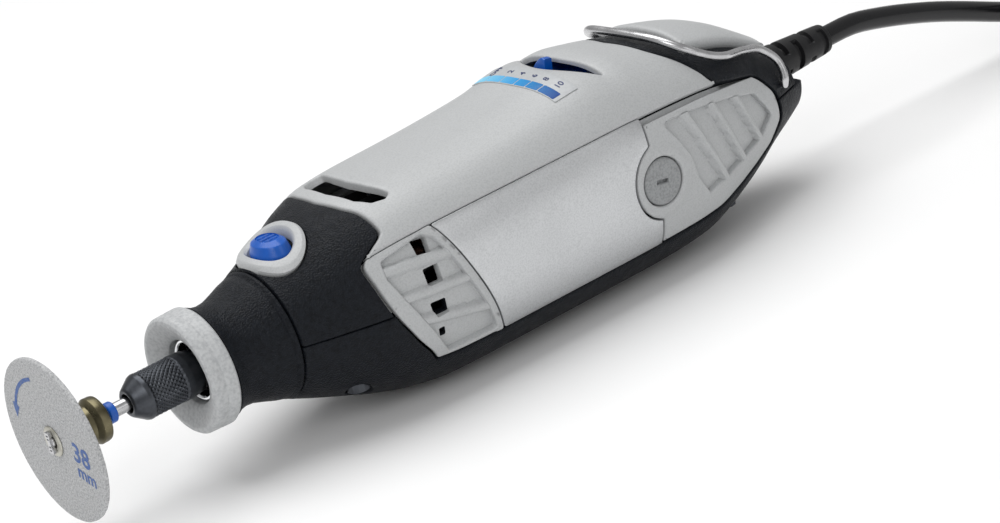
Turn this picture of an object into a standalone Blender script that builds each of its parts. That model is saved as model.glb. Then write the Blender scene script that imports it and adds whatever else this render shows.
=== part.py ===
"""A corded rotary hobby tool with a quick-change cutting disc, as an assembly of separate pieces.

Lengths are in millimetres until at() turns them into metres. A station is a distance along the
spindle from the disc's front face towards the cord, and heights are measured from the spindle.
The angle round the body is 0 on the left side (-Y), 90 on top and 180 on the right side.
"""
import math

import bmesh
import bpy
import numpy as np
from mathutils import Matrix, Vector

MM = 0.001
GAP = 0.3                   # clearance between pieces that touch on the real tool
BELLY = 25.6                # height of the spindle above the flat underside
NOSE_END = -1.3             # station of the arbor's tip
RELIEF_END = 229.5          # station where the cord leaves its strain relief
MID_STATION = (NOSE_END + RELIEF_END) / 2

# Body sections: station, half width, top, bottom, top exponent, bottom exponent.
SECTIONS = (
    (42.0, 12.3, 12.3, 12.3, 2.0, 2.0),
    (51.0, 14.2, 14.2, 14.2, 2.0, 2.0),
    (55.5, 15.8, 15.8, 15.8, 2.0, 2.0),
    (60.0, 17.8, 17.4, 17.6, 2.1, 2.05),
    (67.0, 20.6, 19.8, 20.2, 2.3, 2.1),
    (74.0, 23.0, 22.2, 22.6, 2.6, 2.2),
    (82.0, 24.6, 23.9, 24.6, 2.9, 2.3),
    (92.0, 25.2, 24.6, 25.8, 3.0, 2.4),
    (105., 25.5, 25.1, 26.0, 3.0, 2.4),
    (131., 25.5, 27.2, 26.0, 3.0, 2.4),
    (143., 25.5, 29.2, 26.0, 3.0, 2.4),
    (151., 25.4, 29.4, 26.0, 2.9, 2.4),
    (161., 25.2, 27.8, 25.7, 2.8, 2.4),
    (170., 24.4, 25.9, 25.0, 2.7, 2.4),
    (178., 22.4, 24.4, 23.4, 2.5, 2.3),
    (186., 19.8, 22.3, 21.0, 2.4, 2.2),
    (192., 17.4, 19.6, 18.6, 2.3, 2.2),
    (200., 14.2, 14.6, 15.0, 2.2, 2.1),
    (206., 11.8, 10.6, 12.8, 2.1, 2.0),
    (213., 9.0, 6.6, 9.4, 2.0, 2.0),
)

# Edges between the outer pieces, as (angle, station) points on the left side.
GREY_FRONT = ((-90, 85.0), (-38, 84.0), (-18, 79.0), (-2, 75.5), (17, 73.0), (31, 72.0), (34, 72.6),
              (38, 75.5), (43, 79.0), (57, 78.5), (69, 77.2), (90, 76.4))
PLATE_FRONT = ((-35, 102.5), (-16, 100.0), (10, 95.5), (30, 91.0), (35, 89.5))
GRIP_END = ((-38, 195.0), (-19, 200.6), (6, 199.6), (26, 195.0), (32, 192.0))
COLLAR_FRONT = ((0, 200.3), (6, 199.9), (26, 195.4), (31.8, 192.4), (34.8, 178.0), (43, 174.5),
                (52, 171.0), (68, 165.6), (90, 163.6))
HOUSING_FRONT = 55.0        # just behind the nose cap
SIDE_TOP = 34.8             # angle of the side panels' upper edge
SIDE_BOTTOM = -36.0         # and of their lower edge
UPPER_ANGLES = [0.6, 11.5, 23, 34.7, 35.3, 38, 43, 51, 62, 76]    # grid lines of the upper shell

SKIN = 1.8                  # thickness of the side panels and of the front grip
WALL = 3.8                  # depth of the housing's inner face under the outer surface
SPLIT = 0.6                 # half the angle between the two housing halves

BRUSH_STATION = 152.4
LOCK_STATION = 62.2
LOCK_OVAL = 0.72            # the lock button is an oval this much shorter than wide
DIAL_STATION = 160.2
DIAL_RADIUS = 16.5
DIAL_TOP = 25.4             # height of the dial's front rim
DIAL_TILT = math.radians(9)
TAB_INNER, TAB_OUTER = 13.8, 16.0   # the dial's thumb tab reaches between these radii
SLOT_CENTRE, SLOT_RADIUS = 165.2, 22.0      # the dial's half-moon slot: its front edge is an arc
SLOT_END = 149.7            # and its rear edge a straight line at this station
BAIL_PIVOT = (203.0, 3.0)   # station and height
RELIEF_HEIGHT = 3.0
CORD_RADIUS = 2.7

GREY = (0.52, 0.53, 0.54)
SILVER = (0.72, 0.73, 0.74)
BLACK = (0.02, 0.022, 0.026)
BLUE = (0.01, 0.08, 0.55)
STEEL = (0.60, 0.60, 0.62)
DARK_STEEL = (0.06, 0.06, 0.065)
BRASS = (0.55, 0.42, 0.20)
COPPER = (0.70, 0.30, 0.12)
CARBON = (0.05, 0.05, 0.05)
BOARD = (0.05, 0.25, 0.10)
PAPER = (0.80, 0.80, 0.78)
ABRASIVE = (0.42, 0.40, 0.42)


# ---------------------------------------------------------------- scene and helpers

def clear_scene():
    for old in list(bpy.data.objects):
        bpy.data.objects.remove(old, do_unlink=True)


def collection(name):
    made = bpy.data.collections.new(name)
    bpy.context.scene.collection.children.link(made)
    return made


clear_scene()
PARTS = collection("rotary_tool")
CUTTERS = collection("cutters")


def at(station, y=0.0, height=0.0):
    """World position in metres of a point given in the design's own millimetres."""
    return Vector(((station - MID_STATION) * MM, y * MM, (height + BELLY) * MM))


def smooth(points):
    """A monotone cubic through (x, y) points, as a function."""
    xs = np.array([p[0] for p in points], float)
    ys = np.array([p[1] for p in points], float)
    step = np.diff(xs)
    slope = np.diff(ys) / step
    tangent = np.zeros(len(xs))
    tangent[0], tangent[-1] = slope[0], slope[-1]
    for i in range(1, len(xs) - 1):
        if slope[i - 1] * slope[i] > 0:
            before, after = 2 * step[i] + step[i - 1], step[i] + 2 * step[i - 1]
            tangent[i] = (before + after) / (before / slope[i - 1] + after / slope[i])

    def value(x):
        x = min(max(x, xs[0]), xs[-1])
        i = min(int(np.searchsorted(xs, x, side="right")) - 1, len(step) - 1)
        t = (x - xs[i]) / step[i]
        return float((2 * t**3 - 3 * t**2 + 1) * ys[i] + (t**3 - 2 * t**2 + t) * step[i] * tangent[i]
                     + (3 * t**2 - 2 * t**3) * ys[i + 1] + (t**3 - t**2) * step[i] * tangent[i + 1])
    return value


HALF_WIDTH, TOP, BOTTOM, TOP_POWER, BOTTOM_POWER = (
    smooth([(row[0], row[k]) for row in SECTIONS]) for k in range(1, 6))


def mirrored(edge):
    """A left-side edge function that also serves the right side."""
    return lambda angle: edge(180 - angle if angle > 90 else (-180 - angle if angle < -90 else angle))


grey_front, plate_front, grip_end, collar_front = (
    mirrored(smooth(points)) for points in (GREY_FRONT, PLATE_FRONT, GRIP_END, COLLAR_FRONT))


def body_radius(station, angle):
    """Distance from the spindle to the body's outer surface."""
    c, s = abs(math.cos(math.radians(angle))), abs(math.sin(math.radians(angle)))
    above = angle >= 0
    height = TOP(station) if above else BOTTOM(station)
    power = TOP_POWER(station) if above else BOTTOM_POWER(station)
    radius = ((c / HALF_WIDTH(station)) ** power + (s / height) ** power) ** (-1 / power)
    if not above and s > 0:
        radius = min(radius, BELLY / s)
    return radius


def skin(station, angle, offset=0.0):
    """World point on the body's surface, moved out by offset."""
    radius = body_radius(station, angle) + offset
    turn = math.radians(angle)
    return at(station, -radius * math.cos(turn), radius * math.sin(turn))


def paint(obj, colour, roughness=0.5, metallic=0.0):
    material = bpy.data.materials.new(obj.name)
    material.use_nodes = True
    shader = material.node_tree.nodes["Principled BSDF"]
    shader.inputs["Base Color"].default_value = (*colour, 1.0)
    shader.inputs["Roughness"].default_value = roughness
    shader.inputs["Metallic"].default_value = metallic
    obj.data.materials.clear()
    obj.data.materials.append(material)


def finish_mesh(name, mesh_data, where, look=None):
    """Wrap a bmesh as an object in a collection, with its faces pointing out."""
    bmesh.ops.recalc_face_normals(mesh_data, faces=mesh_data.faces)
    mesh = bpy.data.meshes.new(name)
    mesh_data.to_mesh(mesh)
    mesh_data.free()
    obj = bpy.data.objects.new(name, mesh)
    where.objects.link(obj)
    mesh.shade_smooth()
    mesh.set_sharp_from_angle(angle=math.radians(35))
    if look:
        paint(obj, *look)
    if where is CUTTERS:
        obj.hide_render = True
        obj.display_type = "WIRE"
    return obj


def centred(obj, origin):
    """Move an object's origin to a world point and leave its shape where it is."""
    obj.data.transform(Matrix.Translation(-origin))
    obj.location = origin
    return obj


def turned(name, profile, look, axis="X", centre=(0.0, 0.0, 0.0), steps=20, where=None, closed=True):
    """Revolve (station, radius) points about a line parallel to axis.

    The profile runs from high stations to low ones along its outer side. A closed one is a ring.
    """
    mesh = bpy.data.meshes.new(name)
    points = [(radius * MM, 0.0, along * MM) for along, radius in profile]
    edges = [(i, i + 1) for i in range(len(points) - 1)]
    if closed:
        edges.append((len(points) - 1, 0))
    mesh.from_pydata(points, edges, [])
    obj = bpy.data.objects.new(name, mesh)
    (where or PARTS).objects.link(obj)
    screw = obj.modifiers.new("turn", "SCREW")
    screw.axis = "Z"
    screw.steps = screw.render_steps = steps
    screw.use_merge_vertices = True
    screw.merge_threshold = 0.00001
    if axis == "X":
        obj.rotation_euler = (0, math.pi / 2, 0)
        obj.location = at(0, centre[1], centre[2])
    elif axis == "Y":
        obj.rotation_euler = (-math.pi / 2, 0, 0)
        obj.location = at(centre[0], 0, centre[2])
    else:
        obj.location = at(centre[0], centre[1], 0)
    if where is CUTTERS:
        obj.hide_render = True
        obj.display_type = "WIRE"
    elif look:
        paint(obj, *look)
    return obj


def disc_profile(start, end, outer, inner=0.0):
    """The profile of a plain disc, or of a ring when it has an inner radius."""
    return [(end, inner), (end, outer), (start, outer), (start, inner)]


def solid(name, start, end, radius, look, **options):
    return turned(name, disc_profile(start, end, radius), look, closed=False, **options)


def ring(name, start, end, outer, inner, look, **options):
    return turned(name, disc_profile(start, end, outer, inner), look, **options)


def extruded(name, outline, start, end, look, axis="X", where=None):
    """A flat outline of (a, b) points pushed out along an axis.

    The outline lies in (y, height) for X, (station, height) for Y and (station, y) for Z.
    """
    lay = {"X": lambda a, b, t: at(t, a, b), "Y": lambda a, b, t: at(a, t, b),
           "Z": lambda a, b, t: at(a, b, t)}[axis]
    data = bmesh.new()
    low = [data.verts.new(lay(a, b, start)) for a, b in outline]
    high = [data.verts.new(lay(a, b, end)) for a, b in outline]
    data.faces.new(low[::-1])
    data.faces.new(high)
    for i in range(len(outline)):
        j = (i + 1) % len(outline)
        data.faces.new((low[i], low[j], high[j], high[i]))
    return finish_mesh(name, data, where or PARTS, look)


def box(name, low, high, look=None, where=None):
    outline = [(low[0], low[1]), (high[0], low[1]), (high[0], high[1]), (low[0], high[1])]
    return extruded(name, outline, low[2], high[2], look, "Z", where)


def oval(centre, half_x, half_y, steps=24):
    return [(centre[0] + half_x * math.cos(2 * math.pi * k / steps),
             centre[1] + half_y * math.sin(2 * math.pi * k / steps)) for k in range(steps)]


def loop_solid(name, sections, look, where=None):
    """Join closed sections in a closed chain, such as a ring that follows a curved surface."""
    data = bmesh.new()
    rows = [[data.verts.new(point) for point in section] for section in sections]
    for i, row in enumerate(rows):
        following = rows[(i + 1) % len(rows)]
        for k in range(len(row)):
            m = (k + 1) % len(row)
            data.faces.new((row[k], row[m], following[m], following[k]))
    return finish_mesh(name, data, where or PARTS, look)


def plate(name, stations, angles, outer, inner, look, where=None):
    """A curved plate on the body's surface.

    stations(angle) lists the stations along a line of constant angle, and outer and inner give
    the offsets of its two faces at (index along the line, station, angle).
    """
    data = bmesh.new()
    faces_of = []
    for offset in (outer, inner):
        grid = []
        for angle in angles:
            line = stations(angle)
            grid.append([data.verts.new(skin(x, angle, offset(i, x, angle)))
                         for i, x in enumerate(line)])
        faces_of.append(grid)
    over, under = faces_of
    rows, columns = len(over), len(over[0])
    for r in range(rows - 1):
        for c in range(columns - 1):
            data.faces.new((over[r][c], over[r][c + 1], over[r + 1][c + 1], over[r + 1][c]))
            data.faces.new((under[r][c], under[r + 1][c], under[r + 1][c + 1], under[r][c + 1]))
    for r in range(rows - 1):
        for c in (0, columns - 1):
            data.faces.new((over[r][c], over[r + 1][c], under[r + 1][c], under[r][c]))
    for c in range(columns - 1):
        for r in (0, rows - 1):
            data.faces.new((over[r][c], under[r][c], under[r][c + 1], over[r][c + 1]))
    return finish_mesh(name, data, where or PARTS, look)


def tube(name, points, radius, look, cyclic=False, sides=3):
    """A round wire through the given world points."""
    curve = bpy.data.curves.new(name, "CURVE")
    curve.dimensions = "3D"
    curve.bevel_depth = radius * MM
    curve.bevel_resolution = sides
    curve.use_fill_caps = not cyclic
    spline = curve.splines.new("POLY")
    spline.points.add(len(points) - 1)
    for target, point in zip(spline.points, points):
        target.co = (*point, 1.0)
    spline.use_cyclic_u = cyclic
    obj = bpy.data.objects.new(name, curve)
    PARTS.objects.link(obj)
    paint(obj, *look)
    return obj


def through(points, spacing):
    """World points about spacing millimetres apart on a smooth curve through the given ones."""
    points = [Vector(p) for p in points]
    ends = [points[0] * 2 - points[1]] + points + [points[-1] * 2 - points[-2]]
    fine = [points[0]]
    for i in range(1, len(ends) - 2):
        a, b, c, d = ends[i - 1:i + 3]
        count = max(1, round((c - b).length / (spacing * MM)))
        for k in range(1, count + 1):
            t = k / count
            fine.append(0.5 * ((2 * b) + (c - a) * t + (2 * a - 5 * b + 4 * c - d) * t * t
                               + (3 * b - a - 3 * c + d) * t**3))
    return fine


def boolean(obj, name, operation):
    modifier = obj.modifiers.new(name, "BOOLEAN")
    modifier.operation = operation
    modifier.solver = "EXACT"
    return modifier


def cut(obj, *cutters):
    """Take cutters out of obj: all of its cutters work in one step."""
    group = bpy.data.collections.get(obj.name + "_cuts")
    if group is None:
        group = bpy.data.collections.new(obj.name + "_cuts")
        CUTTERS.children.link(group)
        modifier = boolean(obj, "cuts", "DIFFERENCE")
        modifier.operand_type = "COLLECTION"
        modifier.collection = group
    for cutter in cutters:
        group.objects.link(cutter)
    return obj


def join(obj, other):
    boolean(obj, other.name, "UNION").object = other
    return obj


def spaced(start, end, count):
    return [start + (end - start) * k / (count - 1) for k in range(count)]


def reflect(points):
    """The same outline on the right side: angles measured from the other side."""
    return [180 - angle for angle in points][::-1]


PLASTIC = (GREY, 0.55)
SOFT_BLACK = (BLACK, 0.75)


# ---------------------------------------------------------------- housing

def raised_if(test, low=-SKIN - GAP):
    """An outer offset that is on the surface where test holds and sunk under a panel elsewhere."""
    return lambda i, x, angle: 0.0 if test(i, x, angle) else low


def inner_wall(i, x, angle):
    """The inner face, which thickens to close the tail round the cord's exit."""
    deep = min(8.0, body_radius(x, angle) - 2.0)
    return -WALL if x < 203 else -max(deep, WALL)


def build_upper_housing():
    front_lines = 4

    def stations(angle):
        grey = grey_front(angle)
        return spaced(57.5, grey - 0.35, front_lines) + spaced(grey, collar_front(angle) - GAP, 12)

    angles = UPPER_ANGLES + [90] + reflect(UPPER_ANGLES)
    outer = raised_if(lambda i, x, a: i >= front_lines and SIDE_TOP < a < 180 - SIDE_TOP)
    shell = plate("upper_housing", stations, angles, outer, inner_wall, PLASTIC)
    vent = [(80.3, -9.5), (82.2, -13.2), (85.2, -14.4), (87.2, -13.4), (85.8, -7.0), (85.3, 0.0)]
    vent += [(85.8, 7.0), (87.2, 13.4), (85.2, 14.4), (82.2, 13.2), (80.3, 9.5), (79.6, 0.0)]
    cut(shell, extruded("vent_cutter", vent, 15, 32, None, "Z", CUTTERS))
    reach = math.acos((SLOT_CENTRE - SLOT_END) / SLOT_RADIUS)
    slot = [(SLOT_CENTRE - SLOT_RADIUS * math.cos(turn), SLOT_RADIUS * math.sin(turn))
            for turn in spaced(-reach, reach, 15)]
    cut(shell, extruded("dial_slot_cutter", slot, 18, 34, None, "Z", CUTTERS))
    cut(shell, dial_disc("dial_pocket_cutter", DIAL_RADIUS + 0.5, -4.0, 0.35, CUTTERS))
    hole = oval((LOCK_STATION, 0), 6.5 * LOCK_OVAL, 6.5)
    cut(shell, extruded("lock_hole_cutter", hole, 5, 30, None, "Z", CUTTERS))
    return shell


def build_lower_housing():
    front_lines, middle_lines = 4, 11

    def stations(angle):
        grey, end = grey_front(angle), grip_end(angle)
        return (spaced(HOUSING_FRONT, grey - 0.35, front_lines) + spaced(grey, end, middle_lines)
                + spaced(end + 0.35, 212.5, 3))

    side = [-SPLIT, -12, -24, SIDE_BOTTOM + 0.1, SIDE_BOTTOM - 0.5, -49, -63, -77]
    angles = side + [-90] + [-180 - angle for angle in side][::-1]

    def on_surface(i, x, angle):
        return i < front_lines or i >= front_lines + middle_lines or -180 - SIDE_BOTTOM < angle < SIDE_BOTTOM
    return plate("lower_housing", stations, angles, raised_if(on_surface), inner_wall, SOFT_BLACK)


def build_front_grip():
    def stations(angle):
        return spaced(HOUSING_FRONT, grey_front(angle) - 0.35 - GAP, 5)
    grip = plate("upper_front_grip", stations, UPPER_ANGLES + [90] + reflect(UPPER_ANGLES),
                 lambda i, x, a: 0.0, lambda i, x, a: -SKIN, SOFT_BLACK)
    hole = extruded("surround_cutter", oval((LOCK_STATION, 0), 7.35, 10.75, 32), 5, 30,
                    None, "Z", CUTTERS)
    return cut(grip, hole)


def build_button_surround():
    sections = []
    steps = 24
    for k in range(steps):
        turn = 2 * math.pi * k / steps
        section = []
        for reach, lift in ((1.0, -1.7), (1.0, 0.3), (0.93, 1.0), (0.70, 1.1), (0.66, -1.7)):
            x = LOCK_STATION + 7.0 * reach * math.cos(turn)
            y = 10.4 * reach * math.sin(turn)
            angle = 90 + math.degrees(math.asin(y / (body_radius(x, 90) + 0.8)))
            section.append(skin(x, angle, lift))
        sections.append(section)
    return loop_solid("button_surround", sections, PLASTIC)


def on_side(angles, right):
    """The same left-side angles, moved to the right side where that is wanted."""
    if not right:
        return angles
    return [180 - angle if angle >= 0 else -180 - angle for angle in angles]


def left_angle(angle):
    if angle > 90:
        return 180 - angle
    return -180 - angle if angle < -90 else angle


def plate_rear(angle):
    """Rear edge of the side plate, which curves round the brush cap's boss."""
    height = 25 * math.tan(math.radians(left_angle(angle)))
    reach = 10.0**2 - height**2
    return min(150.6, 154.0 - math.sqrt(reach)) if reach > 0 else 150.6


def build_side(hand, right):
    low, high, grip_top = SIDE_BOTTOM + 0.9, SIDE_TOP - 0.9, 31.0
    outer, inner = (lambda i, x, a: 0.0), (lambda i, x, a: -SKIN)
    grille = plate(hand + "_vent_grille",
                   lambda a: spaced(grey_front(a) + GAP, plate_front(left_angle(a)) - GAP, 7),
                   on_side(spaced(low, high, 9), right), outer, inner, PLASTIC)
    plate(hand + "_side_plate",
          lambda a: spaced(plate_front(left_angle(a)), plate_rear(a), 8),
          on_side(spaced(low, grip_top, 10) + [high], right), outer, inner, (SILVER, 0.35, 0.6))
    grip = plate(hand + "_rear_grip",
                 lambda a: spaced(plate_rear(a) + 2 * GAP, grip_end(a) - GAP, 9),
                 on_side(spaced(low, grip_top, 10), right), outer, inner, PLASTIC)
    sign = 1 if right else -1
    for name, target, station, height, half in (
            ("a", grille, 86.1, 12.3, 1.7), ("b", grille, 86.9, 5.0, 1.9),
            ("c", grille, 86.4, -2.9, 1.8), ("d", grille, 85.6, -9.4, 1.2)):
        cutter = box(hand + "_window_cutter_" + name, (station - half, sign * 14, height - half),
                     (station + half, sign * 34, height + half), where=CUTTERS)
        cut(target, cutter)
        cut(bpy.data.objects["upper_housing" if height > 0 else "lower_housing"], cutter)
    bore = extruded(hand + "_brush_cutter", oval((BRUSH_STATION, 0.05), 6.0, 6.0, 23),
                    sign * 14, sign * 34, None, "Y", CUTTERS)
    for target in (grip, bpy.data.objects["upper_housing"], bpy.data.objects["lower_housing"]):
        cut(target, bore)


def build_rear_collar():
    cap_low, cap_high = 57.4, 122.6

    def cap_start(angle):
        return max(174.0, collar_front(angle) + 2.0)

    def stations(angle):
        start = cap_start(angle)
        return (spaced(collar_front(angle), start - 0.35, 3) + spaced(start, 205.6, 7)
                + [205.95, 207.8, 209.4])

    side = [SPLIT, 13, 26, 31.8, 34.8, 45, cap_low - 0.5, cap_low, 74]
    angles = side + [90] + reflect(side)
    outer = raised_if(lambda i, x, a: i < 3 or i > 9 or a < cap_low or a > cap_high)
    collar = plate("rear_collar", stations, angles, outer, inner_wall, SOFT_BLACK)
    inside = dial_disc("collar_pocket_cutter", DIAL_RADIUS + 0.5, -4.0, 0.35, CUTTERS)
    cut(collar, inside)
    angles = [cap_low + 0.7, 68, 79, 90, 101, 112, cap_high - 0.7]
    plate("rear_cap", lambda a: spaced(174.3, 205.3, 9), angles,
          lambda i, x, a: 2.0, lambda i, x, a: -SKIN, PLASTIC)
    return collar


def cut_rear_openings():
    seat = [(220, 0), (220, 5.6), (203.1, 5.6), (203.1, 6.8), (196, 6.8), (196, 0)]
    exit_cutter = turned("relief_cutter", seat, None, centre=(0, 0, RELIEF_HEIGHT), where=CUTTERS,
                         closed=False)
    pivot_cutter = solid("pivot_cutter", -20, 20, 1.6, None, axis="Y",
                         centre=(BAIL_PIVOT[0], 0, BAIL_PIVOT[1]), steps=16, where=CUTTERS)
    for name in ("rear_collar", "lower_housing"):
        cut(bpy.data.objects[name], exit_cutter)
    cut(bpy.data.objects["rear_collar"], pivot_cutter)


def build_screws():
    lower = bpy.data.objects["lower_housing"]
    places = ((68.0, -11.5), (68.0, 11.5), (180.0, -10.5), (180.0, 10.5))
    for number, (station, y) in enumerate(places, 1):
        angle = -90 + math.degrees(math.atan2(y, BOTTOM(station)))
        base = -body_radius(station, angle) * math.cos(math.radians(angle + 90)) + 1.4
        profile = [(4.0, 0), (4.0, 1.4), (base + 2.2, 1.4), (base + 2.0, 2.8), (base, 2.8),
                   (base, 1.2), (base + 1.2, 0.9), (base + 1.2, 0)]
        turned(f"housing_screw_{number}", profile, (STEEL, 0.4, 1.0), axis="Z",
               centre=(station, y, 0), steps=12, closed=False)
        well = [(6.0, 0), (6.0, 1.7), (base + 2.6, 1.7), (base + 2.5, 3.1), (base - 6, 3.1), (base - 6, 0)]
        cut(lower, turned(f"screw_cutter_{number}", well, None, axis="Z",
                              centre=(station, y, 0), steps=14, where=CUTTERS, closed=False))


# ---------------------------------------------------------------- nose and spindle

def build_nose():
    cap = [(54.6, 12.1), (54.6, 15.3), (51.0, 14.2), (48.0, 13.1), (45.5, 12.3), (43.0, 12.1),
           (41.0, 12.5), (39.2, 13.4), (39.2, 9.0), (41.6, 9.0), (41.6, 10.4), (52.0, 10.4)]
    turned("nose_cap", cap, SOFT_BLACK, steps=28)
    band = [(38.9, 7.6), (38.9, 13.5), (38.4, 13.9), (33.0, 13.7), (32.3, 13.2), (32.3, 12.0),
            (34.4, 8.2), (35.2, 7.6)]
    turned("nose_ring", band, PLASTIC, steps=28)
    bush = [(40.8, 6.4), (40.8, 7.3), (36.2, 7.3), (35.9, 7.1), (35.9, 6.6), (36.3, 6.3)]
    turned("nose_bush", bush, (STEEL, 0.2, 1.0))
    boss = [(57.5, 8.0), (57.5, 11.6), (55.8, 11.6), (55.8, 10.0), (42.2, 10.0), (42.2, 6.4),
            (43.4, 6.4), (43.4, 8.0)]
    turned("front_boss", boss, (BLACK, 0.6))


def bearing(name, start, end, outer, inner):
    groove = (outer - inner) * 0.22
    profile = [(end, inner), (end, inner + groove), (end - 0.5, (inner + outer) / 2), (end, outer - groove),
               (end, outer), (start, outer), (start, inner)]
    return turned(name, profile, (STEEL, 0.25, 1.0), steps=20)


def build_spindle():
    outline = [(66.5, 0), (66.5, 5.2), (58.0, 5.2), (58.0, 4.6), (51.3, 4.6), (51.3, 3.4), (43.7, 3.4),
               (43.7, 4.7), (36.4, 4.7), (36.4, 3.9), (26.2, 3.9), (26.2, 2.9), (42.0, 2.9), (42.0, 0)]
    spindle = turned("output_spindle", outline, (STEEL, 0.3, 1.0), closed=False, steps=20)
    for axis, centre in (("Z", (LOCK_STATION, 0, 0)), ("Y", (LOCK_STATION, 0, 0))):
        cut(spindle, solid("lock_bore_cutter_" + axis, -9, 9, 1.7, None, axis=axis,
                               centre=centre, steps=12, where=CUTTERS))
    bearing("front_bearing", 43.9, 50.9, 7.7, 3.7)
    coupling = [(78.5, 2.9), (78.5, 6.4), (72.4, 6.4), (71.4, 7.4), (66.8, 7.4), (66.8, 2.9)]
    turned("drive_coupling", coupling, (BLACK, 0.6), steps=24)


def build_collet_and_nut():
    sleeve = [(40.5, 1.85), (40.5, 2.55), (27.4, 2.55), (25.6, 2.85), (24.6, 2.85), (23.2, 2.35), (23.2, 1.85)]
    collet = turned("collet", sleeve, (STEEL, 0.3, 1.0), steps=20)
    cut(collet, box("collet_slit_cutter_1", (22, -0.35, -4), (35, 0.35, 4), where=CUTTERS))
    cut(collet, box("collet_slit_cutter_2", (22, -4, -0.35), (35, 4, 0.35), where=CUTTERS))
    nut = [(36.0, 4.25), (36.0, 4.9), (33.0, 5.35), (22.2, 5.35), (21.6, 5.15), (18.9, 3.3), (18.6, 2.9),
           (18.6, 2.2), (20.8, 2.2), (22.6, 3.2), (25.8, 4.25)]
    turned("collet_nut", nut, (DARK_STEEL, 0.4, 0.8), steps=24)


# ---------------------------------------------------------------- arbor and disc

def build_arbor():
    profile = [(38.0, 0), (38.0, 1.4), (37.6, 1.6), (12.8, 1.6), (12.2, 1.1), (-0.8, 1.1), (-0.8, 0)]
    shank = turned("arbor_shank", profile, (STEEL, 0.2, 1.0), steps=16, closed=False)
    tip = [(-1.1, 2.5), (-0.55, 0.9), (-0.55, -0.9), (-1.1, -2.5), (1.1, -2.5), (0.55, -0.9), (0.55, 0.9), (1.1, 2.5)]
    tip_bar = extruded("tip_bar_joiner", tip, NOSE_END, -0.5, None, "X", CUTTERS)
    join(shank, tip_bar)
    ring("arbor_collar", 13.1, 15.0, 2.4, 1.8, (BLUE, 0.4), steps=16)
    hub = [(12.5, 2.8), (12.5, 3.4), (11.6, 5.1), (9.6, 5.3), (8.6, 4.2), (5.0, 3.8), (3.4, 4.8), (1.7, 4.8),
           (1.7, 1.9), (8.0, 1.9), (8.0, 2.8)]
    turned("arbor_hub", hub, (BRASS, 0.35, 1.0), steps=20)
    ring("cutting_disc", 0.0, 1.1, 19.0, 3.0, (ABRASIVE, 0.9), steps=40)
    eyelet = [(1.35, 1.6), (1.35, 2.7), (-0.05, 2.7), (-0.05, 3.5), (-0.35, 3.5), (-0.35, 1.6)]
    turned("disc_eyelet", eyelet, (STEEL, 0.3, 1.0), steps=20)


# ---------------------------------------------------------------- motor

def star(points_count, tip, root, tip_half, root_half):
    """A toothed outline: half widths in degrees at the tips and at the roots."""
    outline = []
    for k in range(points_count):
        middle = 360 * k / points_count
        for offset, radius in ((-root_half, root), (-tip_half, tip), (tip_half, tip), (root_half, root)):
            turn = math.radians(middle + offset)
            outline.append((radius * math.cos(turn), radius * math.sin(turn)))
    return outline


def bored(obj, start, end, radius):
    cutter = solid(obj.name + "_bore_cutter", start - 2, end + 2, radius, None, steps=20, where=CUTTERS)
    return cut(obj, cutter)


def build_armature():
    solid("armature_shaft", 70.0, 169.5, 2.5, (STEEL, 0.3, 1.0), steps=20)
    core = extruded("armature_core", star(12, 11.6, 8.2, 12.5, 9.0), 105, 135, (STEEL, 0.5, 0.9))
    bored(core, 105, 135, 2.8)
    centred(core, at(120))
    heads = [(140.6, 3.2), (140.6, 8.6), (139.4, 10.6), (100.8, 10.6), (99.6, 8.6), (99.6, 3.2)]
    windings = turned("armature_windings", heads, (COPPER, 0.4, 0.7))
    cut(windings, extruded("core_cutter", star(12, 13.5, 8.5, 13.5, 10.5), 104.7, 135.3, None,
                               "X", CUTTERS))
    copper = extruded("commutator", star(20, 8.6, 8.1, 7.6, 8.3), 145.6, 159.4, (COPPER, 0.3, 1.0))
    bored(copper, 145.6, 159.4, 2.8)
    centred(copper, at(BRUSH_STATION))
    fan = extruded("cooling_fan", star(11, 19.4, 6.5, 3.0, 9.0), 84.5, 93.5, (BLACK, 0.5))
    bored(fan, 84.5, 93.5, 2.8)
    centred(fan, at(89))
    bearing("rear_bearing", 163.5, 169.0, 8.0, 2.8)


def build_stator():
    outline = []
    for middle in (90, 270):
        for turn in range(middle - 62, middle + 63, 12):
            outline.append((12.3, turn))
        for turn in range(middle + 68, middle + 113, 11):
            outline.append((17.6, turn))
    inner = [(r * math.cos(math.radians(t)), r * math.sin(math.radians(t))) for r, t in outline]
    core = solid("stator_core", 104, 136, 20.6, (STEEL, 0.5, 0.9), steps=40)
    window = extruded("stator_cutter", inner, 98, 142, None, "X", CUTTERS)
    cut(core, window)
    for name, sign in (("upper_field_coil", 1), ("lower_field_coil", -1)):
        edge, reach = 9.6, 15.2
        sides = [(x, edge) for x in spaced(102, 138, 4)]
        across = [(139.8, a) for a in spaced(edge + 8, 172 - edge, 9)]
        back = [(x, 180 - edge) for x in spaced(138, 102, 4)]
        home = [(100.2, a) for a in spaced(172 - edge, edge + 8, 9)]
        path = [at(x, -reach * math.cos(math.radians(a)), sign * reach * math.sin(math.radians(a)))
                for x, a in sides + across + back + home]
        tube(name, path, 1.7, (COPPER, 0.4, 0.7), cyclic=True, sides=1)


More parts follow.
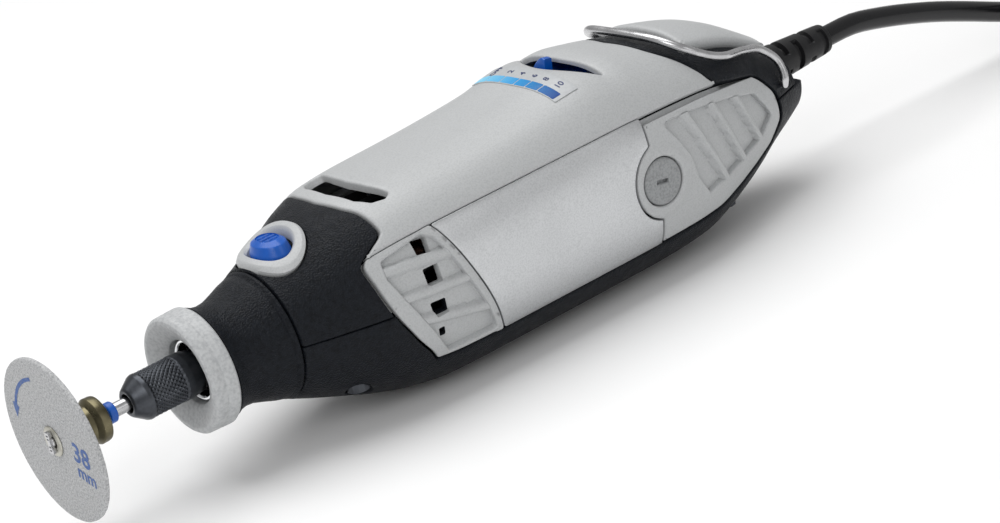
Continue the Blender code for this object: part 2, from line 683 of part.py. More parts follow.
def build_brushes(hand, sign):
    x = BRUSH_STATION

    def square(name, half, start, end, look, where=None):
        outline = [(x - half, -half), (x + half, -half), (x + half, half), (x - half, half)]
        return extruded(name, outline, sign * start, sign * end, look, "Y", where)

    holder = square(hand + "_brush_holder", 4.0, 9.6, 20.6, (BRASS, 0.4, 1.0))
    cut(holder, square(hand + "_holder_cutter", 3.0, 5, 25, None, CUTTERS))
    square(hand + "_carbon_brush", 2.6, 9.0, 14.6, (CARBON, 0.7))
    turns, per_turn = 4, 7
    coil = []
    for k in range(turns * per_turn + 1):
        turn = 2 * math.pi * k / per_turn
        along = 15.6 + 4.8 * k / (turns * per_turn)
        coil.append(at(x + 1.8 * math.cos(turn), sign * along, 1.8 * math.sin(turn)))
    tube(hand + "_brush_spring", coil, 0.35, (STEEL, 0.3, 1.0), sides=1)
    outer, rim = HALF_WIDTH(x), 0.3
    face = [(outer - rim, 5.5), (outer - rim - 0.2, 5.6), (21.2, 5.6), (21.2, 4.4), (20.9, 4.4), (20.9, 0)]
    profile = [(outer - rim, 0)] + face
    if sign < 0:
        profile = [(-along, radius) for along, radius in profile][::-1]
    cap = turned(hand + "_brush_cap", profile, (BLACK, 0.5), axis="Y", centre=(x, 0, 0),
                 steps=26, closed=False)
    slit = box(hand + "_cap_slot_cutter", (x - 1.7, sign * (outer - 1.2), -0.45),
               (x + 1.7, sign * (outer + 3), 0.45), where=CUTTERS)
    cut(cap, slit)


# ---------------------------------------------------------------- controls

def dial_frame():
    """Matrix of the dial: its origin is the centre of its top face, its Z axis its own axle."""
    drop = DIAL_RADIUS * math.sin(DIAL_TILT)
    return Matrix.Translation(at(DIAL_STATION, 0, DIAL_TOP - drop)) @ Matrix.Rotation(DIAL_TILT, 4, "Y")


def dial_disc(name, radius, low, high, where, steps=40):
    data = bmesh.new()
    depth = (high - low) * MM
    shift = Matrix.Translation((0, 0, (high + low) / 2 * MM))
    bmesh.ops.create_cone(data, cap_ends=True, segments=steps, radius1=radius * MM,
                          radius2=radius * MM, depth=depth, matrix=dial_frame() @ shift)
    return finish_mesh(name, data, where)


def build_dial():
    dial = dial_disc("speed_dial", DIAL_RADIUS, -2.6, 0.0, PARTS)
    paint(dial, BLUE, 0.4)
    frame = dial_frame()
    data = bmesh.new()
    ramp = ((-34, 0.3), (-4, 5.0), (1, 4.8))
    sections = []
    for angle, lift in ramp:
        turn = math.radians(180 + angle)
        for radius in (TAB_INNER, TAB_OUTER):
            for height in (-0.4, lift):
                sections.append(data.verts.new(frame @ Vector((radius * MM * math.cos(turn),
                                                               radius * MM * math.sin(turn), height * MM))))
    for k in (0, 4):
        a, b, c, d, e, f, g, h = sections[k:k + 8]
        for corners in ((a, b, f, e), (c, g, h, d), (b, d, h, f), (a, e, g, c)):
            data.faces.new(corners)
    data.faces.new((sections[0], sections[2], sections[3], sections[1]))
    data.faces.new((sections[8], sections[9], sections[11], sections[10]))
    tab = finish_mesh("dial_tab_joiner", data, CUTTERS)
    join(dial, tab)
    centred(dial, frame.translation)
    box("speed_control_board", (143.5, -12.5, 12.4), (176.0, 12.5, 14.0), (BOARD, 0.5))
    box("switch_module", (149.5, -9.0, 14.3), (164.0, 9.0, 18.4), (BLACK, 0.5))
    plate("dial_scale", lambda a: spaced(134.4, 141.2, 3), [58.5, 66, 74, 82, 90, 98, 106, 114, 121.5],
          lambda i, x, a: 0.55, lambda i, x, a: 0.2, (PAPER, 0.4))


def build_lock():
    x = LOCK_STATION
    button = [(20.4, 0), (20.2, 2.4), (19.2, 4.6), (17.2, 5.8), (13.2, 6.0), (13.2, 3.0), (11.8, 3.0),
              (11.8, 0)]
    cap = turned("lock_button", button, (BLUE, 0.4), axis="Z", centre=(x, 0, 0), closed=False)
    cap.scale = (LOCK_OVAL, 1.0, 1.0)
    pin = [(11.5, 0), (11.5, 1.3), (6.2, 1.3), (5.7, 0.9), (5.7, 0)]
    turned("lock_pin", pin, (STEEL, 0.3, 1.0), axis="Z", centre=(x, 0, 0), steps=12, closed=False)
    turns, per_turn = 3, 7
    coil = []
    for k in range(turns * per_turn + 1):
        turn = 2 * math.pi * k / per_turn
        coil.append(at(x + 2.0 * math.cos(turn), 2.0 * math.sin(turn), 7.6 + 3.2 * k / (turns * per_turn)))
    tube("lock_spring", coil, 0.3, (STEEL, 0.3, 1.0), sides=1)


def build_bail():
    half = [(168.6, 6.0, 27.6), (169.4, 12.5, 26.9), (172.4, 17.2, 24.3), (178.0, 18.4, 20.6),
            (184.0, 17.4, 18.0), (192.0, 14.0, 15.8), (199.0, 11.6, 13.2), (203.0, 12.2, 9.6),
            (203.6, 13.6, 6.2), (BAIL_PIVOT[0], 14.2, BAIL_PIVOT[1])]
    left = [at(x, -y, z) for x, y, z in half]
    right = [at(x, y, z) for x, y, z in half]
    path = through(left[::-1] + right, 4.0)
    inner = [at(BAIL_PIVOT[0], y, BAIL_PIVOT[1]) for y in (-10.8, 10.8)]
    bail = tube("hanger_bail", [inner[0]] + path + [inner[1]], 1.0, (STEEL, 0.15, 1.0), sides=2)
    centred(bail, at(BAIL_PIVOT[0], 0, BAIL_PIVOT[1]))


# ---------------------------------------------------------------- cord

def build_cord_exit():
    ribs = []
    count, pitch = 5, 4.45
    for k in range(count):
        start = 206.4 + k * pitch
        radius = 5.2 - 1.35 * k / count
        ribs += [(start, radius - 0.9), (start + 0.6, radius), (start + 3.4, radius - 0.2)]
    outer = [(200.2, 6.4), (202.6, 6.4), (202.9, 4.6)] + ribs + [(RELIEF_END, 3.5)]
    profile = [(RELIEF_END, 0)] + outer[::-1] + [(200.2, 0)]
    turned("strain_relief", profile, (BLACK, 0.6), centre=(0, 0, RELIEF_HEIGHT), steps=16, closed=False)
    box("cord_clamp", (186.0, -9.0, 6.6), (192.0, 9.0, 9.4), (BLACK, 0.6))


# The cord falls from its strain relief to the surface that the tool lies on, then runs into a
# hank in line with the tool: turns with straight sides and round ends, the plug lying on top.
CORD_ROUTE = (
    (RELIEF_END + GAP, 0.0, 3.0), (240.0, 0.0, 2.9), (250.0, 0.0, 0.9), (260.0, 0.0, -1.8),
    (270.0, 0.0, -5.0), (280.0, 0.1, -8.7), (290.0, 0.3, -12.6), (300.0, 0.7, -16.5),
    (310.0, 1.3, -20.0), (318.0, 1.9, -22.3), (326.5, 2.4, -22.9),
)
HANK_CENTRE = (366.0, -22.0)
HANK_REACH = 22.0           # from the hank's centre to the centre of each round end
HANK_RADIUS = 21.7          # of the round ends, at the middle of the turns
HANK_ROWS, HANK_LAYERS = 2, 4       # turns beside each other, and on each other
HANK_TOP = -BELLY + 2 * HANK_LAYERS * CORD_RADIUS
PLUG_START = 346.0          # where the cord enters the plug's own strain relief
PLUG_Y = -0.3


def hank_outline(radius):
    ends = []
    for side, start in ((1, -90), (-1, 90)):
        centre = HANK_CENTRE[0] + side * HANK_REACH
        for angle in spaced(start, start + 180, 15):
            turn = math.radians(angle)
            ends.append((centre + radius * math.cos(turn), HANK_CENTRE[1] + radius * math.sin(turn)))
    return ends


def build_cord():
    route = [at(*point) for point in CORD_ROUTE]
    tube("power_cord", through(route, 6.0), CORD_RADIUS, (BLACK, 0.5), sides=2)
    depth = HANK_ROWS * CORD_RADIUS
    hank = extruded("cord_coil", hank_outline(HANK_RADIUS + depth), -BELLY, HANK_TOP, (BLACK, 0.5), "Z")
    cut(hank, extruded("hank_hole_cutter", hank_outline(HANK_RADIUS - depth), -BELLY - 2, HANK_TOP + 2,
                       None, "Z", CUTTERS))


def build_plug():
    """A flat two-pin plug that lies on the hank, its pins away from the tool."""
    half_width, height, start, end = 13.2, 13.8, PLUG_START + 14, PLUG_START + 49
    low = HANK_TOP + GAP
    middle = low + height / 2
    outline = [(start, -5.5), (start + 9, -half_width), (end - 1.5, -half_width), (end, -half_width + 1.5)]
    outline += [(x, -y) for x, y in reversed(outline)]
    body = extruded("plug", [(x, PLUG_Y + y) for x, y in outline], low, low + height, (BLACK, 0.5), "Z")
    bevel = body.modifiers.new("rounded edges", "BEVEL")
    bevel.width = 1.6 * MM
    bevel.segments = 2
    relief = [(start + 2, 0), (start + 2, 4.8), (PLUG_START, 3.5), (PLUG_START, 0)]
    join(body, turned("plug_relief_joiner", relief, None, centre=(0, PLUG_Y, middle), steps=16,
                      where=CUTTERS, closed=False))
    for side in (-1, 1):
        pin = [(end + 19, 0), (end + 19, 1.2), (end + 18.2, 2.0), (end - 3, 2.0), (end - 3, 0)]
        join(body, turned(f"plug_pin_joiner_{side + 2}", pin, None, steps=12,
                          centre=(0, PLUG_Y + side * 9.3, middle), where=CUTTERS, closed=False))


def build_all():
    build_upper_housing()
    build_lower_housing()
    build_front_grip()
    build_button_surround()
    build_side("left", False)
    build_side("right", True)
    build_rear_collar()
    cut_rear_openings()
    build_screws()
    build_nose()
    build_spindle()
    build_collet_and_nut()
    build_arbor()
    build_armature()
    build_stator()
    build_brushes("left", -1)
    build_brushes("right", 1)
    build_dial()
    build_lock()
    build_bail()
    build_cord_exit()
    build_cord()
    build_plug()


build_all()
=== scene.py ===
"""The looks of a corded rotary hobby tool with a quick-change cutting disc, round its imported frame.

Lengths are in millimetres until at() turns them into metres. A station is a distance along the
spindle from the disc's front face towards the cord, and heights are measured from the spindle.
The angle round the body is 0 on the left side (-Y), 90 on top and 180 on the right side.
"""
import math

import bmesh
import bpy
import numpy as np
from mathutils import Matrix, Vector
from mathutils.geometry import delaunay_2d_cdt


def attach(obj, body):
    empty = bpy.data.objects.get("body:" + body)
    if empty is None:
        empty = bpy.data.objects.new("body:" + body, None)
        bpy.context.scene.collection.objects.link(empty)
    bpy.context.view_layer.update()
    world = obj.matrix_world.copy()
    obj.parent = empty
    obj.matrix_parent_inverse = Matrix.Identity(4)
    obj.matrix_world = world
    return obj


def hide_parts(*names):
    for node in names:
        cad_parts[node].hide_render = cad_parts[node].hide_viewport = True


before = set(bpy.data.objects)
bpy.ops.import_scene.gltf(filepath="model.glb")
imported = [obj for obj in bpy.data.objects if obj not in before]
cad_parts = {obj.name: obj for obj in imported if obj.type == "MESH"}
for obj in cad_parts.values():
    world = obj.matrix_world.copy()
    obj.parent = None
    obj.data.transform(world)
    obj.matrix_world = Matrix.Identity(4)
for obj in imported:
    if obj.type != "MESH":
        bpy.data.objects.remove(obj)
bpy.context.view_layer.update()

MM = 0.001
BELLY = 25.6                # height of the spindle above the flat underside
MID_STATION = 114.1         # middle of the tool, where the frame's origin is
PER_DEGREE = 0.42           # millimetres on the body's surface for one degree round it

# Body sections: station, half width, top, bottom, top exponent, bottom exponent.
SECTIONS = (
    (42.0, 12.3, 12.3, 12.3, 2.0, 2.0),
    (51.0, 14.2, 14.2, 14.2, 2.0, 2.0),
    (55.5, 15.8, 15.8, 15.8, 2.0, 2.0),
    (60.0, 17.8, 17.4, 17.6, 2.1, 2.05),
    (67.0, 20.6, 19.8, 20.2, 2.3, 2.1),
    (74.0, 23.0, 22.2, 22.6, 2.6, 2.2),
    (82.0, 24.6, 23.9, 24.6, 2.9, 2.3),
    (92.0, 25.2, 24.6, 25.8, 3.0, 2.4),
    (105., 25.5, 25.1, 26.0, 3.0, 2.4),
    (131., 25.5, 27.2, 26.0, 3.0, 2.4),
    (143., 25.5, 29.2, 26.0, 3.0, 2.4),
    (151., 25.4, 29.4, 26.0, 2.9, 2.4),
    (161., 25.2, 27.8, 25.7, 2.8, 2.4),
    (170., 24.4, 25.9, 25.0, 2.7, 2.4),
    (178., 22.4, 24.4, 23.4, 2.5, 2.3),
    (186., 19.8, 22.3, 21.0, 2.4, 2.2),
    (192., 17.4, 19.6, 18.6, 2.3, 2.2),
    (200., 14.2, 14.6, 15.0, 2.2, 2.1),
    (206., 11.8, 10.6, 12.8, 2.1, 2.0),
    (213., 9.0, 6.6, 9.4, 2.0, 2.0),
)

# Edges between the outer pieces, as (angle, station) points on the left side.
GREY_FRONT = ((-90, 85.0), (-38, 84.0), (-18, 79.0), (-2, 75.5), (17, 73.0), (31, 72.0), (34, 72.6),
              (38, 75.5), (43, 79.0), (57, 78.5), (69, 77.2), (90, 76.4))
PLATE_FRONT = ((-35, 102.5), (-16, 100.0), (10, 95.5), (30, 91.0), (35, 89.5))
GRIP_END = ((-38, 195.0), (-19, 200.6), (6, 199.6), (26, 195.0), (32, 192.0))
COLLAR_FRONT = ((0, 200.3), (6, 199.9), (26, 195.4), (31.8, 192.4), (34.8, 178.0), (43, 174.5),
                (52, 171.0), (68, 165.6), (90, 163.6))
HOUSING_FRONT = 55.0
TAIL_END = 209.4
SPLIT = 0.6                 # half the angle between the two housing halves
SIDE_TOP = 34.8             # angle of the side panels' upper edge
SIDE_BOTTOM = -36.0         # and of their lower edge
GAP = 0.3                   # usual gap between neighbours
SKIN = 1.8                  # thickness of the side panels and of the front grip
WALL = 3.8                  # depth of the housing's inner face
LINER = 2.1                 # depth of the housing under the side panels
RIM = 2.0                   # thickness that shows at the edges of the top's openings

BRUSH_STATION = 152.4
BRUSH_BORE = 6.0
SCREWS = ((68, -11.5), (68, 11.5), (180, -10.5), (180, 10.5))
WELL_RADIUS = 3.1
LOCK_STATION = 62.2
LOCK_OVAL = 0.72            # the lock button is an oval this much shorter than wide
DIAL_STATION = 160.2
DIAL_RADIUS = 16.5
DIAL_TOP = 25.4
DIAL_TILT = math.radians(9)
SLOT_CENTRE, SLOT_RADIUS, SLOT_END = 165.2, 22.0, 149.7     # the dial's half-moon slot
LABEL_START, LABEL_END = 134.4, 141.2
LABEL_LIFT = 0.22           # height of the dial's scale label above the housing
CAP_START, CAP_END = 174.3, 205.3
CAP_EDGE = 58.1             # angle of the tail cap's left edge
CAP_LIFT = 2.0              # height of the tail cap above the body's outline
BAIL_PIVOT = (203.0, 3.0)   # station and height
RELIEF_HEIGHT = 3.0
RELIEF_END = 229.5
CORD_RADIUS = 2.7


# ---------------------------------------------------------------- helpers

def at(station, y=0.0, height=0.0):
    """World position in metres of a point given in the design's own millimetres."""
    return Vector(((station - MID_STATION) * MM, y * MM, (height + BELLY) * MM))


def smooth(points):
    """A monotone cubic through (x, y) points, as a function of an array."""
    xs = np.array([p[0] for p in points], float)
    ys = np.array([p[1] for p in points], float)
    step = np.diff(xs)
    slope = np.diff(ys) / step
    tangent = np.zeros(len(xs))
    tangent[0], tangent[-1] = slope[0], slope[-1]
    for i in range(1, len(xs) - 1):
        if slope[i - 1] * slope[i] > 0:
            before, after = 2 * step[i] + step[i - 1], step[i] + 2 * step[i - 1]
            tangent[i] = (before + after) / (before / slope[i - 1] + after / slope[i])

    def value(x):
        x = np.clip(np.asarray(x, float), xs[0], xs[-1])
        i = np.minimum(np.searchsorted(xs, x, side="right") - 1, len(step) - 1)
        t = (x - xs[i]) / step[i]
        return ((2 * t**3 - 3 * t**2 + 1) * ys[i] + (t**3 - 2 * t**2 + t) * step[i] * tangent[i]
                + (3 * t**2 - 2 * t**3) * ys[i + 1] + (t**3 - t**2) * step[i] * tangent[i + 1])
    return value


HALF_WIDTH, TOP, BOTTOM, TOP_POWER, BOTTOM_POWER = (
    smooth([(row[0], row[k]) for row in SECTIONS]) for k in range(1, 6))


def left_angle(angle):
    """The left-side angle at the same height as any angle."""
    angle = np.asarray(angle, float)
    return np.where(angle > 90, 180 - angle, np.where(angle < -90, -180 - angle, angle))


def edge_line(points):
    line = smooth(points)
    return lambda angle: line(left_angle(angle))


grey_front, plate_front, grip_end, collar_front = (
    edge_line(points) for points in (GREY_FRONT, PLATE_FRONT, GRIP_END, COLLAR_FRONT))


def plate_rear(angle):
    """Rear edge of the side plate, which curves round the brush cap's boss."""
    height = 25 * np.tan(np.radians(left_angle(angle)))
    reach = np.maximum(10.0**2 - height**2, 0)
    return np.minimum(150.6, 154.0 - np.sqrt(reach))


def body_radius(station, angle):
    """Distance from the spindle to the body's outer surface."""
    turn = np.radians(angle)
    c, s = np.abs(np.cos(turn)), np.abs(np.sin(turn))
    above = np.asarray(angle) >= 0
    height = np.where(above, TOP(station), BOTTOM(station))
    power = np.where(above, TOP_POWER(station), BOTTOM_POWER(station))
    radius = ((c / HALF_WIDTH(station)) ** power + (s / height) ** power) ** (-1 / power)
    return np.where(above, radius, np.minimum(radius, BELLY / np.maximum(s, 1e-6)))


def on_body(plan, lift):
    """World points over the body at (station, angle x PER_DEGREE) plan points, moved out by lift."""
    plan = np.asarray(plan, float)
    station, angle = plan[:, 0], plan[:, 1] / PER_DEGREE
    radius = body_radius(station, angle) + lift
    turn = np.radians(angle)
    return np.stack([(station - MID_STATION) * MM, -radius * np.cos(turn) * MM,
                     (radius * np.sin(turn) + BELLY) * MM], 1)


def plan_of(points):
    """Plan points from (station, angle) points."""
    return [(x, angle * PER_DEGREE) for x, angle in points]


def plan_from_above(points, below=False):
    """Plan points on the body's top, or underside, from (station, y) points."""
    result = []
    for x, y in points:
        side = -1 if below else 1
        angle = 90.0 * side
        for _ in range(8):
            reach = float(body_radius(x, angle))
            angle = side * (90 + math.degrees(math.asin(max(-1, min(1, y / reach)))))
        result.append((x, angle * PER_DEGREE))
    return result


def plan_from_side(points):
    """Plan points on the body's left side from (station, height) points."""
    result = []
    for x, z in points:
        angle = 0.0
        for _ in range(8):
            angle = math.degrees(math.asin(max(-1, min(1, z / float(body_radius(x, angle))))))
        result.append((x, angle * PER_DEGREE))
    return result


def spaced(start, end, count):
    return [float(start + (end - start) * k / (count - 1)) for k in range(count)]


def arc(centre, radius_x, radius_y, start, end, count):
    """Points on an oval's arc, its angles in degrees."""
    turns = [math.radians(angle) for angle in spaced(start, end, count)]
    return [(centre[0] + radius_x * math.cos(t), centre[1] + radius_y * math.sin(t)) for t in turns]


def oval(centre, radius_x, radius_y, count=48):
    return arc(centre, radius_x, radius_y, 0, 360 - 360 / count, count)


def along(line, start, end, count, shift=0.0):
    """(station, angle) points on an edge line between two angles."""
    return [(float(line(angle)) + shift, angle) for angle in spaced(start, end, count)]


def area_of(outline):
    x, y = np.asarray(outline, float).T
    return 0.5 * float(np.sum(x * np.roll(y, -1) - np.roll(x, -1) * y))


def rounded(outline, radius, turn_limit=20, steps=5):
    """The outline with each corner sharper than turn_limit degrees made a curve."""
    points = [np.array(p, float) for p in outline]
    result = []
    for i, corner in enumerate(points):
        before, after = points[i - 1], points[(i + 1) % len(points)]
        into, out = corner - before, after - corner
        reach_in, reach_out = np.linalg.norm(into), np.linalg.norm(out)
        cosine = float(into @ out / max(reach_in * reach_out, 1e-9))
        turn = math.degrees(math.acos(max(-1, min(1, cosine))))
        if turn < turn_limit or radius <= 0:
            result.append(tuple(corner))
            continue
        cut = min(radius * math.tan(math.radians(min(turn, 150) / 2)), 0.48 * reach_in, 0.48 * reach_out)
        first, last = corner - into / reach_in * cut, corner + out / reach_out * cut
        for k in range(steps + 1):
            t = k / steps
            result.append(tuple((1 - t)**2 * first + 2 * t * (1 - t) * corner + t**2 * last))
    return result


def dense(outline, step):
    """The closed outline with points no further apart than step."""
    result = []
    for i, point in enumerate(outline):
        after = np.array(outline[(i + 1) % len(outline)], float)
        point = np.array(point, float)
        distance = float(np.linalg.norm(after - point))
        if distance < 1e-4:
            continue
        parts = max(1, math.ceil(distance / step))
        result += [tuple(point + (after - point) * k / parts) for k in range(parts)]
    return np.array(result)


def inset(outline, distance):
    """The outline moved to the left of its direction of travel."""
    outline = np.asarray(outline, float)
    ahead = np.roll(outline, -1, 0) - outline
    ahead /= np.linalg.norm(ahead, axis=1)[:, None]
    behind = np.roll(ahead, 1, 0)
    side = np.stack([-(ahead + behind)[:, 1], (ahead + behind)[:, 0]], 1)
    side /= np.maximum(np.linalg.norm(side, axis=1), 1e-6)[:, None]
    left = np.stack([-ahead[:, 1], ahead[:, 0]], 1)
    stretch = 1 / np.maximum(np.sum(side * left, 1), 0.7)
    return outline + side * (distance * stretch)[:, None]


def inside(points, outline):
    """Which points lie inside a closed outline."""
    x, y = points[:, 0][:, None], points[:, 1][:, None]
    x1, y1 = outline[:, 0], outline[:, 1]
    x2, y2 = np.roll(x1, -1), np.roll(y1, -1)
    crosses = (y1 > y) != (y2 > y)
    slope = (x2 - x1) / np.where(y2 == y1, 1e-12, y2 - y1)
    return np.sum(crosses & (x < x1 + (y - y1) * slope), 1) % 2 == 1


def between(points, border, holes):
    """Which points lie inside a border and outside all its holes."""
    keep = inside(points, border)
    for hole in holes:
        keep &= ~inside(points, hole)
    return keep


def far_from(grid, given, distance):
    """The grid's points that are further than a distance from every given point."""
    clear = np.ones(len(grid), bool)
    for chunk in np.array_split(given, max(1, len(given) // 200)):
        clear &= np.linalg.norm(grid[:, None] - chunk[None], axis=2).min(1) > distance
    return grid[clear]


def triangles_in(border, holes, spacing):
    """Points and triangles that fill a border round its holes, the given points first."""
    given = np.concatenate([border] + holes)
    low, high = border.min(0), border.max(0)
    rows = np.arange(low[1], high[1], spacing * 0.866)
    grid = np.array([(x + (k % 2) * spacing / 2, y) for k, y in enumerate(rows)
                     for x in np.arange(low[0], high[0], spacing)]).reshape(-1, 2)
    grid = grid[between(grid, border, holes)]
    if len(grid):
        grid = far_from(grid, given, 0.55 * spacing)
    points = np.concatenate([given, grid]) if len(grid) else given
    edges, first = [], 0
    for loop in [border] + holes:
        edges += [(first + k, first + (k + 1) % len(loop)) for k in range(len(loop))]
        first += len(loop)
    found, _, faces, origins, _, _ = delaunay_2d_cdt([Vector(p) for p in points], edges, [], 0, 1e-6)
    name = [origin[0] if origin else -1 for origin in origins]
    found = np.array([tuple(p) for p in found])
    corners = np.array([face for face in faces if len(face) == 3])
    middles = found[corners].mean(1)
    result = []
    for a, b, c in corners[between(middles, border, holes)]:
        (ax, ay), (bx, by), (cx, cy) = found[a], found[b], found[c]
        if (bx - ax) * (cy - ay) - (by - ay) * (cx - ax) < 0:
            b, c = c, b
        triangle = (name[a], name[b], name[c])
        if min(triangle) >= 0:
            result.append(triangle)
    return points, result


ROUND_STEPS = (0, 30, 60, 90)       # turns in degrees at which a rounded edge has its points


def raised(height):
    """A lift or floor for a Sheet that is the same all over."""
    return lambda plan: np.zeros(len(plan)) + height


def on_plane(position):
    """A placing function for a Sheet, from a function of one plan point and its height."""
    def place(plan, height):
        heights = np.broadcast_to(height, len(plan))
        return np.array([tuple(at(*position(u, v, h))) for (u, v), h in zip(np.asarray(plan), heights)])
    return place


def quads(rows, count, closed=True, ring=True):
    """Faces between rows of count points; closed joins the last row to the first, ring each row's ends."""
    faces = []
    for k in range(rows if closed else rows - 1):
        a, b = k * count, (k + 1) % rows * count
        faces += [(a + i, a + (i + 1) % count, b + (i + 1) % count, b + i)
                  for i in range(count if ring else count - 1)]
    return faces


class Sheet:
    """A closed piece of skin with rounded edges, drawn on a plan and laid on a surface."""

    def __init__(self, place, depth, lift=None, spacing=1.3):
        self.place, self.depth, self.spacing = place, depth, spacing
        self.lift = lift or raised(0.0)
        self.points, self.faces = [], []

    def add(self, plan, height, follow=True):
        """Puts plan points on the surface at a height, and returns their numbers."""
        plan = np.asarray(plan, float)
        height = np.zeros(len(plan)) + (height(plan) if callable(height) else height)
        if follow:
            height = height + self.lift(plan)
        first = len(self.points)
        self.points += [tuple(p) for p in self.place(plan, height)]
        return list(range(first, first + len(plan)))

    def bridge(self, low, high):
        count = len(low)
        self.faces += [(low[i], low[(i + 1) % count], high[(i + 1) % count], high[i])
                       for i in range(count)]

    def rim(self, outline, low, top, radius):
        """A wall from the numbered points low up to height top, with a rounded edge; the last loop."""
        below = low
        for angle in ROUND_STEPS:
            turn = math.radians(angle)
            plan = inset(outline, radius * (1 - math.cos(turn)))
            loop = self.add(plan, top - radius * (1 - math.sin(turn)))
            self.bridge(below, loop)
            below = loop
        return plan, below

    def fill(self, loops, height, down=False):
        """Closes the area between a border and its holes, given as (plan, numbers)."""
        border = loops[0][0]
        plans = [np.asarray(plan) for plan, _ in loops]
        points, triangles = triangles_in(np.asarray(border), plans[1:], self.spacing)
        numbers = [n for _, loop in loops for n in loop]
        numbers += self.add(points[len(numbers):], height, follow=not down)
        for a, b, c in triangles:
            corners = (numbers[a], numbers[b], numbers[c])
            self.faces.append(corners[::-1] if down else corners)

    def build(self, outline, cuts=(), corner=1.0, edge=0.5, recesses=()):
        """cuts go through the piece. A recess is (outline, floor height, windows in its floor)."""
        outer = self.shaped(outline, corner, 1)
        bottoms = [(outer, self.add(outer, -self.depth, follow=False))]
        tops = [self.rim(outer, bottoms[0][1], 0.0, edge)]
        for cut in cuts:
            shape = self.shaped(cut, corner, -1)
            bottoms.append((shape, self.add(shape, -self.depth, follow=False)))
            tops.append(self.rim(shape, bottoms[-1][1], 0.0, edge))
        for recess, floor, windows in recesses:
            shape = self.shaped(recess, corner, -1)
            low = self.add(shape, floor)
            tops.append(self.rim(shape, low, 0.0, edge))
            floor_loops = [(shape[::-1], low[::-1])]
            for window in windows:
                opening = self.shaped(window, corner * 0.4, -1)
                under = self.add(opening, -self.depth, follow=False)
                level = self.add(opening, floor)
                self.bridge(under, level)
                bottoms.append((opening, under))
                floor_loops.append((opening, level))
            self.fill(floor_loops, floor)
        self.fill(tops, 0.0)
        self.fill(bottoms, -self.depth, down=True)
        return self

    def shaped(self, outline, corner, direction):
        outline = dense(rounded(outline, corner), self.spacing * 0.9)
        return outline if area_of(outline) * direction > 0 else outline[::-1]

    def mirrored(self, mirror):
        """The points and faces, on the right side instead of the left if mirror is set."""
        if not mirror:
            return self.points, self.faces
        return [(x, -y, z) for x, y, z in self.points], [face[::-1] for face in self.faces]

    def join(self, other, mirror):
        """Takes in another sheet's points and faces."""
        first = len(self.points)
        points, faces = other.mirrored(mirror)
        self.points += points
        self.faces += [tuple(first + k for k in face) for face in faces]

    def piece(self, name, look, body, mirror=False):
        return mesh_piece(name, *self.mirrored(mirror), look, body)


def mesh_piece(name, points, faces, look, body, sharp=38, weld=0.0):
    """A mesh object that rides on a body, its edges sharper than sharp degrees left hard."""
    data = bpy.data.meshes.new(name)
    data.from_pydata([tuple(p) for p in points], [], faces)
    shape = bmesh.new()
    shape.from_mesh(data)
    if weld:
        bmesh.ops.remove_doubles(shape, verts=shape.verts, dist=weld)
        bmesh.ops.recalc_face_normals(shape, faces=shape.faces)
    shape.to_mesh(data)
    shape.free()
    data.shade_smooth()
    data.set_sharp_from_angle(angle=math.radians(sharp))
    obj = bpy.data.objects.new(name, data)
    bpy.context.scene.collection.objects.link(obj)
    data.materials.append(look)
    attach(obj, body)
    return obj


def turned(name, profile, look, body, fillet=0.3, steps=96, axis="X", centre=(0, 0, 0), scale_x=1.0,
           reshape=None, fine=None, sharp=38):
    """A profile of (distance along the axis, radius) turned round an axis through centre.

    reshape changes the array of (distance, radius, turn) before the points are placed.
    """
    outline = rounded(profile, fillet, turn_limit=25, steps=3)
    outline = [tuple(p) for p in (dense(outline, fine) if fine else outline)]
    count = len(outline)
    grid = np.array([(d, r, 2 * math.pi * k / steps) for k in range(steps) for d, r in outline])
    if reshape:
        grid = reshape(grid)
    d, r, turn = grid.T
    across, up = r * np.cos(turn), r * np.sin(turn)
    cx, cy, cz = centre
    if axis == "X":
        local = np.stack([cx + d, cy + across, cz + up], 1)
    elif axis == "Y":
        local = np.stack([cx + across, cy + d, cz + up], 1)
    else:
        local = np.stack([cx + across * scale_x, cy + up, cz + d], 1)
    points = [tuple(at(*p)) for p in local]
    faces = []
    for k in range(steps):
        a, b = k * count, (k + 1) % steps * count
        for i in range(count):
            j = (i + 1) % count
            if outline[i][1] < 1e-6 and outline[j][1] < 1e-6:
                continue
            faces.append((a + i, a + j, b + j, b + i))
    return mesh_piece(name, points, faces, look, body, sharp, weld=1e-7)


def swept(name, path, radius, look, body, sides=16):
    """A round wire along a path of world points."""
    path = [Vector(p) for p in path]
    points, side = [], None
    for i, point in enumerate(path):
        ahead = (path[min(i + 1, len(path) - 1)] - path[max(i - 1, 0)]).normalized()
        if side is None:
            side = ahead.orthogonal().normalized()
        side = (side - ahead * side.dot(ahead)).normalized()
        other = ahead.cross(side)
        for k in range(sides):
            turn = 2 * math.pi * k / sides
            points.append(point + (side * math.cos(turn) + other * math.sin(turn)) * radius * MM)
    faces = quads(len(path), sides, closed=False)
    faces.append(tuple(range(sides))[::-1])
    faces.append(tuple(range((len(path) - 1) * sides, len(path) * sides)))
    return mesh_piece(name, points, faces, look, body)


def curve_through(points, step):
    """Points about step apart on a smooth curve through the given world points."""
    points = [Vector(p) for p in points]
    padded = [2 * points[0] - points[1]] + points + [2 * points[-1] - points[-2]]
    result = []
    for i in range(1, len(padded) - 2):
        p0, p1, p2, p3 = padded[i - 1:i + 3]
        count = max(2, round((p2 - p1).length / (step * MM)))
        for k in range(count):
            t = k / count
            result.append(0.5 * (2 * p1 + (p2 - p0) * t + (2 * p0 - 5 * p1 + 4 * p2 - p3) * t**2
                                 + (3 * p1 - p0 - 3 * p2 + p3) * t**3))
    return result + [points[-1]]


# ---------------------------------------------------------------- materials

